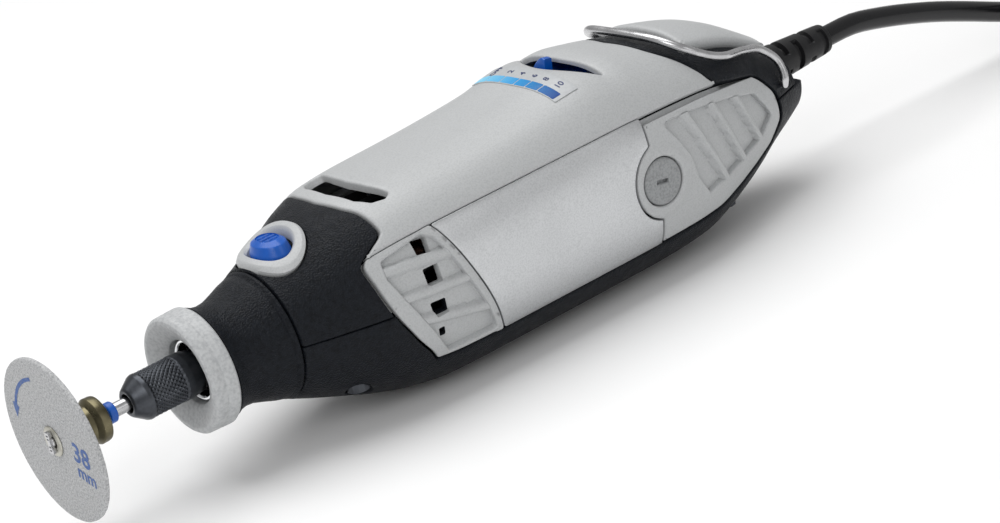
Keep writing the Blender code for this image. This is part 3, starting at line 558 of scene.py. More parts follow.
def material(name, colour, roughness, metallic=0.0, mottle=None, grains=(), rough=None, **sockets):
    """A surface with mottled colour, several grains of bump and varying roughness.

    mottle is (scale, darker colour, share of it). A grain is (kind, scale, height, distance in mm).
    rough is (scale, lowest, highest).
    """
    look = bpy.data.materials.new(name)
    look.use_nodes = True
    nodes, links = look.node_tree.nodes, look.node_tree.links
    shader = nodes["Principled BSDF"]
    shader.inputs["Base Color"].default_value = (*colour, 1)
    shader.inputs["Roughness"].default_value = roughness
    shader.inputs["Metallic"].default_value = metallic
    for socket, value in sockets.items():
        shader.inputs[socket.replace("_", " ")].default_value = value
    place = nodes.new("ShaderNodeTexCoord")

    def noise(scale, detail=3.0):
        texture = nodes.new("ShaderNodeTexNoise")
        texture.inputs["Scale"].default_value = scale
        texture.inputs["Detail"].default_value = detail
        links.new(place.outputs["Object"], texture.inputs["Vector"])
        return texture.outputs["Fac"]

    if mottle:
        scale, dark, share = mottle
        ramp = nodes.new("ShaderNodeValToRGB")
        ramp.color_ramp.elements[0].position = 0.5 - share
        ramp.color_ramp.elements[0].color = (*dark, 1)
        ramp.color_ramp.elements[1].position = 0.5 + share * 0.5
        ramp.color_ramp.elements[1].color = (*colour, 1)
        links.new(noise(scale), ramp.inputs["Fac"])
        links.new(ramp.outputs["Color"], shader.inputs["Base Color"])
    if rough:
        scale, lowest, highest = rough
        spread = nodes.new("ShaderNodeMapRange")
        spread.inputs["From Min"].default_value = 0.3
        spread.inputs["From Max"].default_value = 0.7
        spread.inputs["To Min"].default_value = lowest
        spread.inputs["To Max"].default_value = highest
        links.new(noise(scale), spread.inputs["Value"])
        links.new(spread.outputs["Result"], shader.inputs["Roughness"])
    normal = None
    for kind, scale, strength, distance in grains:
        if kind == "cells":
            texture = nodes.new("ShaderNodeTexVoronoi")
            texture.inputs["Scale"].default_value = scale
            links.new(place.outputs["Object"], texture.inputs["Vector"])
            height = texture.outputs["Distance"]
        else:
            height = noise(scale, 4.0)
        bump = nodes.new("ShaderNodeBump")
        bump.inputs["Strength"].default_value = strength
        bump.inputs["Distance"].default_value = distance * MM
        links.new(height, bump.inputs["Height"])
        if normal:
            links.new(normal, bump.inputs["Normal"])
        normal = bump.outputs["Normal"]
    if normal:
        links.new(normal, shader.inputs["Normal"])
    return look


GREY = material("grey plastic", (0.47, 0.48, 0.485), 0.42, mottle=(2600, (0.41, 0.42, 0.425), 0.16),
                grains=(("noise", 2400, 0.16, 0.08), ("noise", 90, 0.1, 0.2)), rough=(160, 0.38, 0.48))
RING_GREY = material("nose ring plastic", (0.50, 0.51, 0.515), 0.5, mottle=(1300, (0.38, 0.39, 0.40), 0.2),
                     grains=(("noise", 1100, 0.4, 0.15),), rough=(200, 0.42, 0.6))
SOFT_BLACK = material("soft black", (0.008, 0.0098, 0.0135), 0.5, mottle=(900, (0.004, 0.005, 0.007), 0.2),
                      grains=(("cells", 2300, 0.7, 0.25), ("noise", 1300, 0.4, 0.2)),
                      rough=(300, 0.34, 0.5), Specular_IOR_Level=0.14)
SILVER = material("silver plate", (0.60, 0.61, 0.62), 0.36, 1.0, mottle=(2600, (0.50, 0.51, 0.52), 0.2),
                  grains=(("noise", 2200, 0.08, 0.05),), rough=(60, 0.32, 0.42))
BLUE = material("blue plastic", (0.002, 0.10, 0.50), 0.32, mottle=(300, (0.002, 0.085, 0.42), 0.2),
                grains=(("noise", 1400, 0.12, 0.08),), rough=(150, 0.26, 0.4))
DIAL_BLUE = material("dial blue", (0.002, 0.095, 0.46), 0.25, mottle=(300, (0.002, 0.08, 0.39), 0.2),
                     grains=(("noise", 1200, 0.1, 0.08),), rough=(150, 0.18, 0.32))
BLACK = material("black plastic", (0.012, 0.012, 0.013), 0.4, mottle=(500, (0.008, 0.008, 0.009), 0.2),
                 grains=(("noise", 900, 0.2, 0.15),), rough=(200, 0.3, 0.5), Specular_IOR_Level=0.3)
CAP_GREY = material("brush cap grey", (0.30, 0.31, 0.315), 0.42, mottle=(1900, (0.22, 0.225, 0.23), 0.18),
                    grains=(("noise", 1500, 0.25, 0.1),), rough=(160, 0.36, 0.5))
CHROME = material("chrome", (0.80, 0.81, 0.82), 0.08, 1.0, mottle=(120, (0.74, 0.75, 0.77), 0.2),
                  grains=(("noise", 400, 0.03, 0.05),), rough=(200, 0.05, 0.14))
STEEL = material("bright steel", (0.58, 0.58, 0.59), 0.25, 1.0, mottle=(260, (0.46, 0.46, 0.47), 0.2),
                 grains=(("noise", 1300, 0.1, 0.05),), rough=(300, 0.16, 0.34))
CORE_STEEL = material("core steel", (0.30, 0.30, 0.31), 0.5, 0.9, mottle=(500, (0.2, 0.19, 0.19), 0.2),
                      grains=(("noise", 1500, 0.3, 0.1),), rough=(300, 0.4, 0.6))
DARK_NUT = material("dark nut", (0.075, 0.08, 0.09), 0.3, 0.95, mottle=(500, (0.05, 0.054, 0.062), 0.2),
                    grains=(("noise", 1400, 0.2, 0.08),), rough=(300, 0.26, 0.42))
BRASS = material("hub brass", (0.17, 0.15, 0.09), 0.3, 0.95, mottle=(260, (0.085, 0.075, 0.045), 0.22),
                 grains=(("noise", 900, 0.15, 0.08),), rough=(250, 0.22, 0.45))
COPPER = material("copper wire", (0.14, 0.05, 0.025), 0.35, 0.8, mottle=(900, (0.07, 0.025, 0.012), 0.25),
                  grains=(("cells", 1500, 0.5, 0.3),), rough=(300, 0.22, 0.42))
CARBON = material("carbon", (0.03, 0.03, 0.032), 0.55, 0.2, mottle=(900, (0.015, 0.015, 0.016), 0.25),
                  grains=(("noise", 1500, 0.3, 0.1),), rough=(300, 0.45, 0.65))
BOARD = material("circuit board", (0.02, 0.16, 0.06), 0.4, mottle=(350, (0.012, 0.09, 0.035), 0.2),
                 grains=(("cells", 300, 0.2, 0.2),), rough=(200, 0.3, 0.5))
PAPER = material("scale label", (0.46, 0.475, 0.485), 0.35, mottle=(900, (0.42, 0.435, 0.445), 0.2),
                 grains=(("noise", 1300, 0.08, 0.05),), rough=(200, 0.28, 0.42))
INK = material("label ink", (0.015, 0.03, 0.12), 0.4, mottle=(900, (0.01, 0.02, 0.09), 0.2),
               grains=(("noise", 1300, 0.05, 0.03),), rough=(200, 0.34, 0.48))
PRINT_BLUE = material("print blue", (0.03, 0.10, 0.34), 0.55, mottle=(1500, (0.10, 0.15, 0.30), 0.2),
                      grains=(("noise", 1800, 0.4, 0.12),), rough=(200, 0.45, 0.65))
ABRASIVE = material("abrasive disc", (0.53, 0.535, 0.54), 0.75, mottle=(2200, (0.27, 0.275, 0.285), 0.2),
                    grains=(("cells", 2400, 0.6, 0.25), ("noise", 900, 0.4, 0.2)), rough=(500, 0.55, 0.8))
EYELET = material("eyelet", (0.55, 0.54, 0.48), 0.35, 0.6, mottle=(500, (0.38, 0.37, 0.31), 0.2),
                  grains=(("noise", 1300, 0.15, 0.08),), rough=(300, 0.28, 0.45))
CORD = material("cord rubber", (0.006, 0.006, 0.007), 0.22, mottle=(60, (0.004, 0.004, 0.005), 0.2),
                grains=(("noise", 500, 0.12, 0.15),), rough=(90, 0.16, 0.3), Specular_IOR_Level=0.4)


def band_material():
    """The label's band, which runs from pale to deep blue across the tool."""
    look = material("scale band", (0.05, 0.25, 0.7), 0.35, grains=(("noise", 1300, 0.08, 0.05),),
                    rough=(200, 0.28, 0.42), Specular_IOR_Level=0.2)
    nodes, links = look.node_tree.nodes, look.node_tree.links
    place = next(n for n in nodes if n.type == "TEX_COORD")
    split = nodes.new("ShaderNodeSeparateXYZ")
    spread = nodes.new("ShaderNodeMapRange")
    ramp = nodes.new("ShaderNodeValToRGB")
    spread.inputs["From Min"].default_value = 0.0135
    spread.inputs["From Max"].default_value = -0.0155
    links.new(place.outputs["Object"], split.inputs["Vector"])
    links.new(split.outputs["Y"], spread.inputs["Value"])
    links.new(spread.outputs["Result"], ramp.inputs["Fac"])
    ramp.color_ramp.elements[0].color = (0.22, 0.60, 0.82, 1)
    ramp.color_ramp.elements[1].color = (0.004, 0.045, 0.24, 1)
    middle = ramp.color_ramp.elements.new(0.5)
    middle.color = (0.02, 0.28, 0.62, 1)
    links.new(ramp.outputs["Color"], nodes["Principled BSDF"].inputs["Base Color"])
    return look


BAND = band_material()


def dress(look, *nodes):
    """Gives a carried-over CAD node its finish."""
    for node in nodes:
        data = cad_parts[node].data
        data.materials.clear()
        data.materials.append(look)


# ---------------------------------------------------------------- cord, coil and plug

# The cord falls from its strain relief to the surface that the tool lies on, then runs into a
# hank in line with the tool: turns with straight sides and round ends, the plug lying on top.
CORD_ROUTE = (
    (RELIEF_END + GAP, 0.0, 3.0), (240.0, 0.0, 2.9), (250.0, 0.0, 0.9), (260.0, 0.0, -1.8),
    (270.0, 0.0, -5.0), (280.0, 0.1, -8.7), (290.0, 0.3, -12.6), (300.0, 0.7, -16.5),
    (310.0, 1.3, -20.0), (318.0, 1.9, -22.3), (326.5, 2.4, -22.9), (336.0, 2.4, -22.9),
)
HANK_CENTRE = (366.0, -22.0)
HANK_REACH = 22.0           # from the hank's centre to the centre of each round end
HANK_RADIUS = 21.25         # of the round ends, at the middle of the turns
HANK_ROWS, HANK_LAYERS = 2, 4       # turns beside each other, and on each other
HANK_TOP = -BELLY + 2 * HANK_LAYERS * CORD_RADIUS
HANK_TURNS = HANK_ROWS * HANK_LAYERS
ROW_SHIFT = 0.2             # share of a turn in which the cord moves to the next row
LAST_SHIFT = 0.42           # and in which it climbs to the plug
PLUG_START = 346.0
PLUG_Y = -0.3
PLUG_LOW = HANK_TOP + GAP
PLUG_HEIGHT = 13.8


def eased(t):
    t = min(max(t, 0.0), 1.0)
    return t * t * (3 - 2 * t)


def hank_row(index):
    """End radius and height of a turn: rows go in and out again, layer on layer, then to the plug."""
    if index >= HANK_TURNS:
        return PLUG_Y - HANK_CENTRE[1], PLUG_LOW + PLUG_HEIGHT / 2
    layer, place = divmod(index, HANK_ROWS)
    row = place if layer % 2 == 0 else HANK_ROWS - 1 - place
    radius = HANK_RADIUS + (HANK_ROWS - 1) * CORD_RADIUS - 2 * CORD_RADIUS * row
    return radius, -BELLY + CORD_RADIUS * (1 + 2 * layer)


def hank_points():
    """Turns that start on the far side, at the tool's end, and go round the far end first."""
    straight, round_end = 2 * HANK_REACH, math.pi * HANK_RADIUS
    around = 2 * (straight + round_end)
    begins = {"far": 0, "out": straight, "near": straight + round_end, "back": 2 * straight + round_end}
    steps = [(stretch, k / count) for stretch, count in (("far", 7), ("out", 14), ("near", 7), ("back", 14))
             for k in range(count)]
    left, right = HANK_CENTRE[0] - HANK_REACH, HANK_CENTRE[0] + HANK_REACH
    points = []
    for index in range(HANK_TURNS):
        (radius, height), (next_radius, next_height) = hank_row(index), hank_row(index + 1)
        shift = LAST_SHIFT if index == HANK_TURNS - 1 else ROW_SHIFT
        for stretch, t in steps:
            long = straight if stretch in ("far", "near") else round_end
            move = eased(((begins[stretch] + t * long) / around - 1 + shift) / shift)
            r = radius + (next_radius - radius) * move
            z = height + (next_height - height) * move
            turn = math.radians(90 - 180 * t) if stretch == "out" else math.radians(-90 - 180 * t)
            x, y = {"far": (left + straight * t, r),
                    "near": (right - straight * t, -r),
                    "out": (right + r * math.cos(turn), r * math.sin(turn)),
                    "back": (left + r * math.cos(turn), r * math.sin(turn))}[stretch]
            points.append((x, HANK_CENTRE[1] + y, z))
    return points


def cord_path():
    start = curve_through([at(*p) for p in CORD_ROUTE], 3.0)
    end = at(PLUG_START - 0.2, PLUG_Y, PLUG_LOW + PLUG_HEIGHT / 2)
    return start + [at(*p) for p in hank_points()] + [end]


def build_cord():
    path = cord_path()
    data = bpy.data.curves.new("cord", "CURVE")
    data.dimensions = "3D"
    data.bevel_depth = CORD_RADIUS * MM
    data.bevel_resolution = 5
    data.use_fill_caps = True
    line = data.splines.new("POLY")
    line.points.add(len(path) - 1)
    for point, place in zip(line.points, path):
        point.co = (*place, 1)
    data.materials.append(CORD)
    cord = bpy.data.objects.new("cord", data)
    bpy.context.scene.collection.objects.link(cord)
    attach(cord, "housing")
    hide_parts("power_cord", "cord_coil")
    return cord, path


def build_plug():
    """A flat two-pin plug with a ribbed strain relief, grip grooves and sleeved pins."""
    start, end = PLUG_START + 14, PLUG_START + 49
    half, middle = 13.2, PLUG_LOW + PLUG_HEIGHT / 2
    outline = [(start, -5.5), (start + 7, -11.6), (start + 16, -11.0), (end - 8, -half), (end, -half)]
    outline += [(x, -y) for x, y in reversed(outline)]

    lying = on_plane(lambda x, y, height: (x, PLUG_Y + y, PLUG_LOW + height))
    grooves = []
    for k in range(4):
        x, y = start + 9.4 + 3.4 * k, 7 + 0.3 * k
        grooves.append(([(x, -y), (x + 1.6, -y), (x + 1.6, y), (x, y)], PLUG_HEIGHT - 0.8))
    block = PlugBody(lying, spacing=1.6)
    body = block.build_block(outline, grooves, PLUG_HEIGHT).piece("plug_body", BLACK, "housing")
    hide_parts("plug")

    def rib(grid):
        d, r, turn = grid.T
        zone = (r > 2.9) * (d < start) * (d > PLUG_START + 0.8)
        wave = 0.35 * np.sin((d - start) * 2 * math.pi / 2.6) - 0.35
        return np.stack([d, r + wave * zone, turn], 1)

    profile = [(start + 2, 2.75), (start + 2, 4.8), (PLUG_START, 3.5), (PLUG_START, 2.75)]
    relief = turned("plug_relief", profile, BLACK, "housing", centre=(0, PLUG_Y, middle), steps=48,
                    fine=0.4, reshape=rib)
    pieces = [body, relief]
    for side in (-1, 1):
        centre = (0, PLUG_Y + side * 9.3, middle)
        profile = [(end - 1, 0), (end - 1, 1.75), (end + 18, 1.75), (end + 19, 1.1), (end + 19, 0)]
        pin = turned(f"plug_pin_{side + 2}", profile, STEEL, "housing", centre=centre, steps=32)
        profile = [(end - 1, 1.8), (end - 1, 2.0), (end + 10, 2.0), (end + 10, 1.8)]
        sleeve = turned(f"plug_sleeve_{side + 2}", profile, BLACK, "housing", fillet=0.05,
                        centre=centre, steps=32)
        pieces += [pin, sleeve]
    return pieces


class PlugBody(Sheet):
    """A block whose two faces are both rounded, lying on the surface under the tool."""

    def __init__(self, place, spacing):
        super().__init__(place, 0.0, spacing=spacing)

    def build_block(self, outline, recesses, height, corner=2.0, edge=1.4):
        outer = self.shaped(outline, corner, 1)
        underside = inset(outer, edge)
        below = self.add(underside, 0.0)
        bottom = (underside, below)
        for angle in ROUND_STEPS[2::-1]:
            turn = math.radians(angle)
            loop = self.add(inset(outer, edge * (1 - math.cos(turn))), edge * (1 - math.sin(turn)))
            self.bridge(below, loop)
            below = loop
        tops = [self.rim(outer, below, height, edge)]
        for recess, floor in recesses:
            shape = self.shaped(recess, 0.5, -1)
            low = self.add(shape, floor)
            tops.append(self.rim(shape, low, height, 0.3))
            self.fill([(shape[::-1], low[::-1])], floor)
        self.fill(tops, height)
        self.fill([bottom], 0.0, down=True)
        return self


def build_tie():
    """A thin strap round the near side of the hank."""
    half_width, half_height, thick = HANK_ROWS * CORD_RADIUS, HANK_LAYERS * CORD_RADIUS, 0.4
    outline = [(-half_width - thick, -half_height), (half_width + thick, -half_height),
               (half_width + thick, half_height + thick), (-half_width - thick, half_height + thick)]
    loop = dense(rounded(outline, 2.4), 1.0)
    inner = inset(loop, thick)
    points, strap = [], 3.2
    for ring, side in ((loop, -strap), (loop, strap), (inner, strap), (inner, -strap)):
        points += [tuple(at(HANK_CENTRE[0] - 4 + side, HANK_CENTRE[1] - HANK_RADIUS + y,
                            -BELLY + half_height + z)) for y, z in ring]
    tie = mesh_piece("hank_tie", points, quads(4, len(loop)), BLACK, "housing", weld=1e-7)
    return tie


# ---------------------------------------------------------------- body panels

def seen_slots():
    """Openings of the housing's top: the vent slot and the dial's half-moon slot, in plan."""
    vent = [(80.3, -9.5), (82.2, -13.2), (85.2, -14.4), (87.2, -13.4), (85.8, -7.0), (85.3, 0.0)]
    vent += [(85.8, 7.0), (87.2, 13.4), (85.2, 14.4), (82.2, 13.2), (80.3, 9.5), (79.6, 0.0)]
    reach = math.degrees(math.acos((SLOT_CENTRE - SLOT_END) / SLOT_RADIUS))
    slot = arc((SLOT_CENTRE, 0), SLOT_RADIUS, SLOT_RADIUS, 180 - reach, 180 + reach, 25)
    return plan_from_above(vent), plan_from_above(slot)


# Openings behind the vent grille as (station, height) points, two in each housing half.
WINDOWS = ([(84.4, 11.0), (87.8, 10.4), (88.0, 14.4), (84.0, 15.0)],
           [(84.9, 3.0), (88.8, 2.9), (88.6, 7.4), (84.5, 7.4)],
           [(84.6, -4.6), (88.2, -4.6), (88.2, -1.4), (84.2, -1.2)],
           [(85.4, -10.6), (86.9, -10.6), (86.8, -8.4), (85.2, -8.4)])


def top_lift(plan):
    """The top stands a little under the flanks, with a soft crease between, and is dished at the dial."""
    station, angle = plan[:, 0], left_angle(plan[:, 1] / PER_DEGREE)
    across = (angle - (58 - 2 * (station - 87) / 45)) * PER_DEGREE
    ends = np.clip((station - 86) / 3, 0, 1) * np.clip((134 - station) / 6, 0, 1)
    crease = -0.28 / (1 + np.exp(-across * 3.2)) * ends
    y = body_radius(station, angle) * np.cos(np.radians(angle))
    reach = np.hypot(station - SLOT_CENTRE, y) - SLOT_RADIUS
    dish = -0.45 * np.exp(-(np.maximum(reach, 0) / 1.6)**2) * np.clip((154 - station) / 5, 0, 1)
    span = np.clip((station - 147) / 3, 0, 1)
    behind = np.exp(-((y / 11.0)**2)) * span * np.clip((161 - station) / 9, 0, 1)
    return crease + dish - 0.5 * behind


def brush_notch(sign):
    """The housing's edge round the brush bore, above the split for sign 1 and below it for sign -1."""
    notch = ((-8.0, SPLIT), (-6.4, 11.0), (0.0, 17.0), (6.4, 11.0), (8.0, SPLIT))
    return [(BRUSH_STATION + sign * x, sign * angle) for x, angle in notch]


def add_liners(shell, border, windows, spacing):
    """Joins the housing's wall under the side panels to a shell, on both sides."""
    for mirror in (False, True):
        liner = Sheet(on_body, WALL, raised(-LINER), spacing=spacing)
        liner.build(plan_of(border), [plan_from_side(w) for w in windows], corner=0.4, edge=0.2)
        shell.join(liner, mirror)


def build_upper_shell():
    edge_angle = SIDE_TOP + 0.2
    outline = along(grey_front, edge_angle, 180 - edge_angle, 60)[::-1]
    outline += along(collar_front, edge_angle, 180 - edge_angle, 60, -GAP)
    outline = plan_of(outline[::-1])
    vent, slot = seen_slots()
    shell = Sheet(on_body, RIM, top_lift, spacing=1.25)
    shell.build(outline, [vent, slot], corner=0.9, edge=0.55)
    border = [(57.5, SPLIT)] + brush_notch(1)
    border += along(collar_front, SPLIT, edge_angle - SPLIT, 14, -GAP) + [(57.5, edge_angle - SPLIT)]
    add_liners(shell, border, WINDOWS[:2], 2.2)
    piece = shell.piece("upper_shell", GREY, "housing")
    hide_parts("upper_housing")


def build_lower_shell():
    top, low = -SPLIT, SIDE_BOTTOM + 0.1
    left = [(HOUSING_FRONT, top), (float(grey_front(top)) - 0.35, top)]
    left += along(grey_front, top - 3, low, 12, -0.35)
    left += along(grip_end, low, top, 14, 0.35)
    left += [(212.5, top)]
    right = [(x, -180 - angle) for x, angle in reversed(left)]
    wells = [plan_from_above(oval(place, WELL_RADIUS, WELL_RADIUS, 24), below=True) for place in SCREWS]
    shell = Sheet(on_body, WALL, spacing=1.5)
    shell.build(plan_of(left + right), wells, corner=0.8, edge=0.45)
    border = along(grey_front, top, low + 0.4, 8) + along(grip_end, low + 0.4, top, 10)
    add_liners(shell, border + brush_notch(-1), WINDOWS[2:], 2.4)
    piece = shell.piece("lower_shell", SOFT_BLACK, "housing")
    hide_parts("lower_housing")


def build_front_grip():
    left, right = 0.1, 179.9
    outline = [(HOUSING_FRONT, a) for a in spaced(right, left, 40)]
    outline += along(grey_front, left, right, 90, -0.65)
    hole = plan_from_above(oval((LOCK_STATION, 0), 7.35, 10.75, 60))
    grip = Sheet(on_body, SKIN, spacing=1.2)
    piece = grip.build(plan_of(outline), [hole], corner=0.8, edge=0.22).piece(
        "front_grip", SOFT_BLACK, "housing")
    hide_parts("upper_front_grip")


def build_button_surround():
    profile = rounded([(1.0, -1.7), (1.0, 0.5), (0.9, 1.2), (0.72, 1.15), (0.66, 0.3), (0.66, -1.7)],
                      0.09, steps=4)
    steps, half_length, half_width = 72, 7.0, 10.4
    points = []
    for k in range(steps):
        turn = 2 * math.pi * k / steps
        for reach, lift in profile:
            x = LOCK_STATION + half_length * reach * math.cos(turn)
            y = half_width * reach * math.sin(turn)
            points.append(tuple(on_body(plan_from_above([(x, y)]), lift)[0]))
    faces = quads(steps, len(profile))
    piece = mesh_piece("button_bezel", points, faces, GREY, "housing", weld=1e-7)
    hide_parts("button_surround")


# The left vent grille's recess and the ends of the ribs that stand in it, as (station, angle) points.
GRILLE_RECESS = [(75.6, 30.2), (86.6, 33.0), (89.0, 29.0), (91.2, 20.0), (94.0, 6.0), (97.4, -13.0),
                 (100.4, -32.8), (86.9, -33.0), (84.2, -21.0), (81.2, -8.0), (78.0, 7.0), (75.6, 20.0)]
GRILLE_RIBS = (((75.5, 24.0), (92.0, 19.4)), ((79.0, 5.6), (95.0, 2.4)), ((83.0, -10.6), (98.0, -17.4)))
RIB_HALF = 1.35


def ribbed_floor(ribs, depth, top):
    """A recess's floor height, with a rounded rib along each of the lines given."""
    ends = [np.array(plan_of(rib)) for rib in ribs]

    def height(plan):
        rise = np.zeros(len(plan))
        for start, end in ends:
            along_rib = (end - start) / np.linalg.norm(end - start)
            offset = np.asarray(plan) - start
            away = np.abs(offset[:, 0] * along_rib[1] - offset[:, 1] * along_rib[0])
            rise = np.maximum(rise, np.sqrt(np.clip(1 - (away / RIB_HALF) ** 2, 0, 1)))
        return -depth + (depth + top) * rise
    return height


def grille_lift(plan):
    """A low rim along the side plate's edge."""
    reach = plate_front(plan[:, 1] / PER_DEGREE) - plan[:, 0]
    return -0.25 * np.clip((reach - 2.0) / 0.8, 0, 1)


PANEL_LOW, PANEL_HIGH = SIDE_BOTTOM + 0.9, SIDE_TOP - 0.1      # angles of the side panels' edges
GRIP_TOP = 31.0             # angle of the rear grip's upper edge


def build_grille(hand, mirror):
    outline = along(grey_front, PANEL_HIGH, PANEL_LOW, 30, GAP)
    outline += along(plate_front, PANEL_LOW, PANEL_HIGH, 20, -GAP)
    windows = [plan_from_side(window) for window in WINDOWS]
    recess = (plan_of(GRILLE_RECESS), ribbed_floor(GRILLE_RIBS, 1.6, -0.1), windows)
    grille = Sheet(on_body, SKIN, grille_lift, spacing=0.6)
    grille.build(plan_of(outline), corner=1.1, edge=0.4, recesses=[recess])
    piece = grille.piece(hand + "_grille", GREY, "housing", mirror)
    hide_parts(hand + "_vent_grille")


def build_side_plate(hand, mirror):
    outline = along(plate_front, PANEL_HIGH, PANEL_LOW, 20) + along(plate_rear, PANEL_LOW, GRIP_TOP, 60)
    outline += [(float(plate_rear(GRIP_TOP)), PANEL_HIGH)]
    plate = Sheet(on_body, SKIN, raised(-0.15), spacing=1.4)
    plate.build(plan_of(outline), corner=1.2, edge=0.3)
    piece = plate.piece(hand + "_plate", SILVER, "housing", mirror)
    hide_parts(hand + "_side_plate")


# The left rear grip's recess and the ends of its ribs, as (station, angle) points.
GRIP_RECESS = [(156.2, 28.4), (161.6, 27.8), (171.0, 26.6), (181.0, 24.0), (190.6, 18.8), (193.9, 5),
               (196.0, -8), (191.4, -15.5), (182.6, -17), (174.6, -18.6), (169.8, -19), (166.6, -21),
               (163.4, -8), (162.6, 5), (159.8, 17)]
GRIP_RIBS = (((163.4, 30), (173.4, -22)), ((172.6, 30), (181.6, -22)), ((182.4, 26), (189.6, -18)))
BOSS_RADIUS = 9.0           # of the raised ring round the brush cap


def build_rear_grip(hand, mirror):
    outline = along(plate_rear, GRIP_TOP, PANEL_LOW, 60, 2 * GAP)
    outline += along(grip_end, PANEL_LOW, GRIP_TOP, 30, -GAP)
    bore = plan_from_side(oval((BRUSH_STATION, 0.05), BRUSH_BORE, BRUSH_BORE, 48))
    recess = (plan_of(GRIP_RECESS), ribbed_floor(GRIP_RIBS, 1.5, 0.45), ())
    grip = Sheet(on_body, SKIN, boss_lift, spacing=0.7)
    grip.build(plan_of(outline), [bore], corner=1.3, edge=0.5, recesses=[recess])
    piece = grip.piece(hand + "_grip", GREY, "housing", mirror)
    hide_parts(hand + "_rear_grip")


def boss_lift(plan):
    """A raised ring round the brush cap."""
    station, angle = plan[:, 0], plan[:, 1] / PER_DEGREE
    height = body_radius(station, angle) * np.sin(np.radians(angle))
    reach = np.hypot(station - BRUSH_STATION, height)
    return 0.35 * np.clip((BOSS_RADIUS - reach) / 1.1, 0, 1) - 0.35


def collar_lift(plan):
    """The collar is sunk where the tail cap covers it."""
    station, angle = plan[:, 0], plan[:, 1] / PER_DEGREE
    under = (np.abs(angle - 90) < 32.6) & (station > CAP_START - GAP) & (station < 205.7)
    return np.where(under, -LINER, 0.0)


def build_rear_collar():
    left, right = SPLIT, 180 - SPLIT
    outline = along(collar_front, left, right, 120)[::-1]
    outline += [(TAIL_END, a) for a in spaced(left, right, 50)]
    collar = Sheet(on_body, WALL, collar_lift, spacing=1.2)
    collar.build(plan_of(outline[::-1]), corner=0.9, edge=0.5)
    piece = collar.piece("rear_band", SOFT_BLACK, "housing")
    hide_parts("rear_collar")


def build_tail_cap():
    outline = [(CAP_START, a) for a in spaced(180 - CAP_EDGE, CAP_EDGE, 30)]
    outline += [(CAP_END, a) for a in spaced(CAP_EDGE, 180 - CAP_EDGE, 30)]
    cap = Sheet(on_body, SKIN, raised(CAP_LIFT), spacing=1.2)
    piece = cap.build(plan_of(outline), corner=2.4, edge=1.3).piece("tail_cap", GREY, "housing")
    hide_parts("rear_cap")


# ---------------------------------------------------------------- dial, label and button

def dial_matrix():
    drop = DIAL_RADIUS * math.sin(DIAL_TILT)
    return Matrix.Translation(at(DIAL_STATION, 0, DIAL_TOP - drop)) @ Matrix.Rotation(DIAL_TILT, 4, "Y")


def build_dial_wheel(place):
    rim = DIAL_RADIUS
    profile = rounded([(-2.6, 0), (-2.6, rim - 0.8), (-1.9, rim), (-0.5, rim), (0.0, rim - 0.6),
                       (-0.1, 13.2), (-0.6, 12.6), (-0.6, 0)], 0.4, steps=3)
    steps, points = 180, []
    for k in range(steps):
        turn = 2 * math.pi * k / steps
        for height, radius in profile:
            tooth = 0.22 * (k % 4 < 2) if radius > rim - 0.3 else 0.0
            points.append(place @ Vector(((radius - tooth) * MM * math.cos(turn),
                                          (radius - tooth) * MM * math.sin(turn), height * MM)))
    faces = quads(steps, len(profile), ring=False)
    wheel = mesh_piece("dial_wheel", points, faces, DIAL_BLUE, "dial", weld=1e-7)
    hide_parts("speed_dial")


def build_dial_tab(place):
    """A wedge that rises along part of the dial's rim."""
    start, end, rows = -34, 1, 26
    ramp = smooth(((start, 0.0), (-28, 0.7), (-8, 4.5), (-4, 5.0), (end, 4.8)))
    section = rounded([(13.8, -0.4), (16.0, -0.4), (16.0, 1.0), (13.8, 1.0)], 0.35, steps=3)
    points = []
    for angle in spaced(start, end, rows):
        turn = math.radians(180 + angle)
        for radius, height in section:
            lift = height if height < 0 else height - 1.0 + float(ramp(angle))
            points.append(place @ Vector((radius * MM * math.cos(turn), radius * MM * math.sin(turn),
                                          max(lift, -0.4) * MM)))
    count = len(section)
    faces = quads(rows, count, closed=False)
    faces.append(tuple(range(count)))
    faces.append(tuple(range((rows - 1) * count, rows * count))[::-1])
    tab = mesh_piece("dial_tab", points, faces, DIAL_BLUE, "dial", weld=1e-7)


def lettering(name, text, size, centre, place, look, body, thick=0.05, turn=0.0):
    """Flat text made a mesh, its points placed by place(x, y, height)."""
    curve = bpy.data.curves.new(name + "_text", "FONT")
    curve.body = text
    curve.size = size
    curve.align_x, curve.align_y = "CENTER", "CENTER"
    curve.extrude = thick / 2
    curve.offset = size * 0.02
    curve.resolution_u = 3
    holder = bpy.data.objects.new(name + "_text", curve)
    bpy.context.scene.collection.objects.link(holder)
    depsgraph = bpy.context.evaluated_depsgraph_get()
    data = bpy.data.meshes.new_from_object(holder.evaluated_get(depsgraph))
    bpy.data.objects.remove(holder)
    c, s = math.cos(math.radians(turn)), math.sin(math.radians(turn))
    points = [place(centre[0] + v.co.x * c - v.co.y * s, centre[1] + v.co.x * s + v.co.y * c,
                    v.co.z + thick / 2) for v in data.vertices]
    faces = [tuple(p.vertices) for p in data.polygons]
    bpy.data.meshes.remove(data)
    piece = mesh_piece(name, points, faces, look, body, weld=1e-7)
    return piece


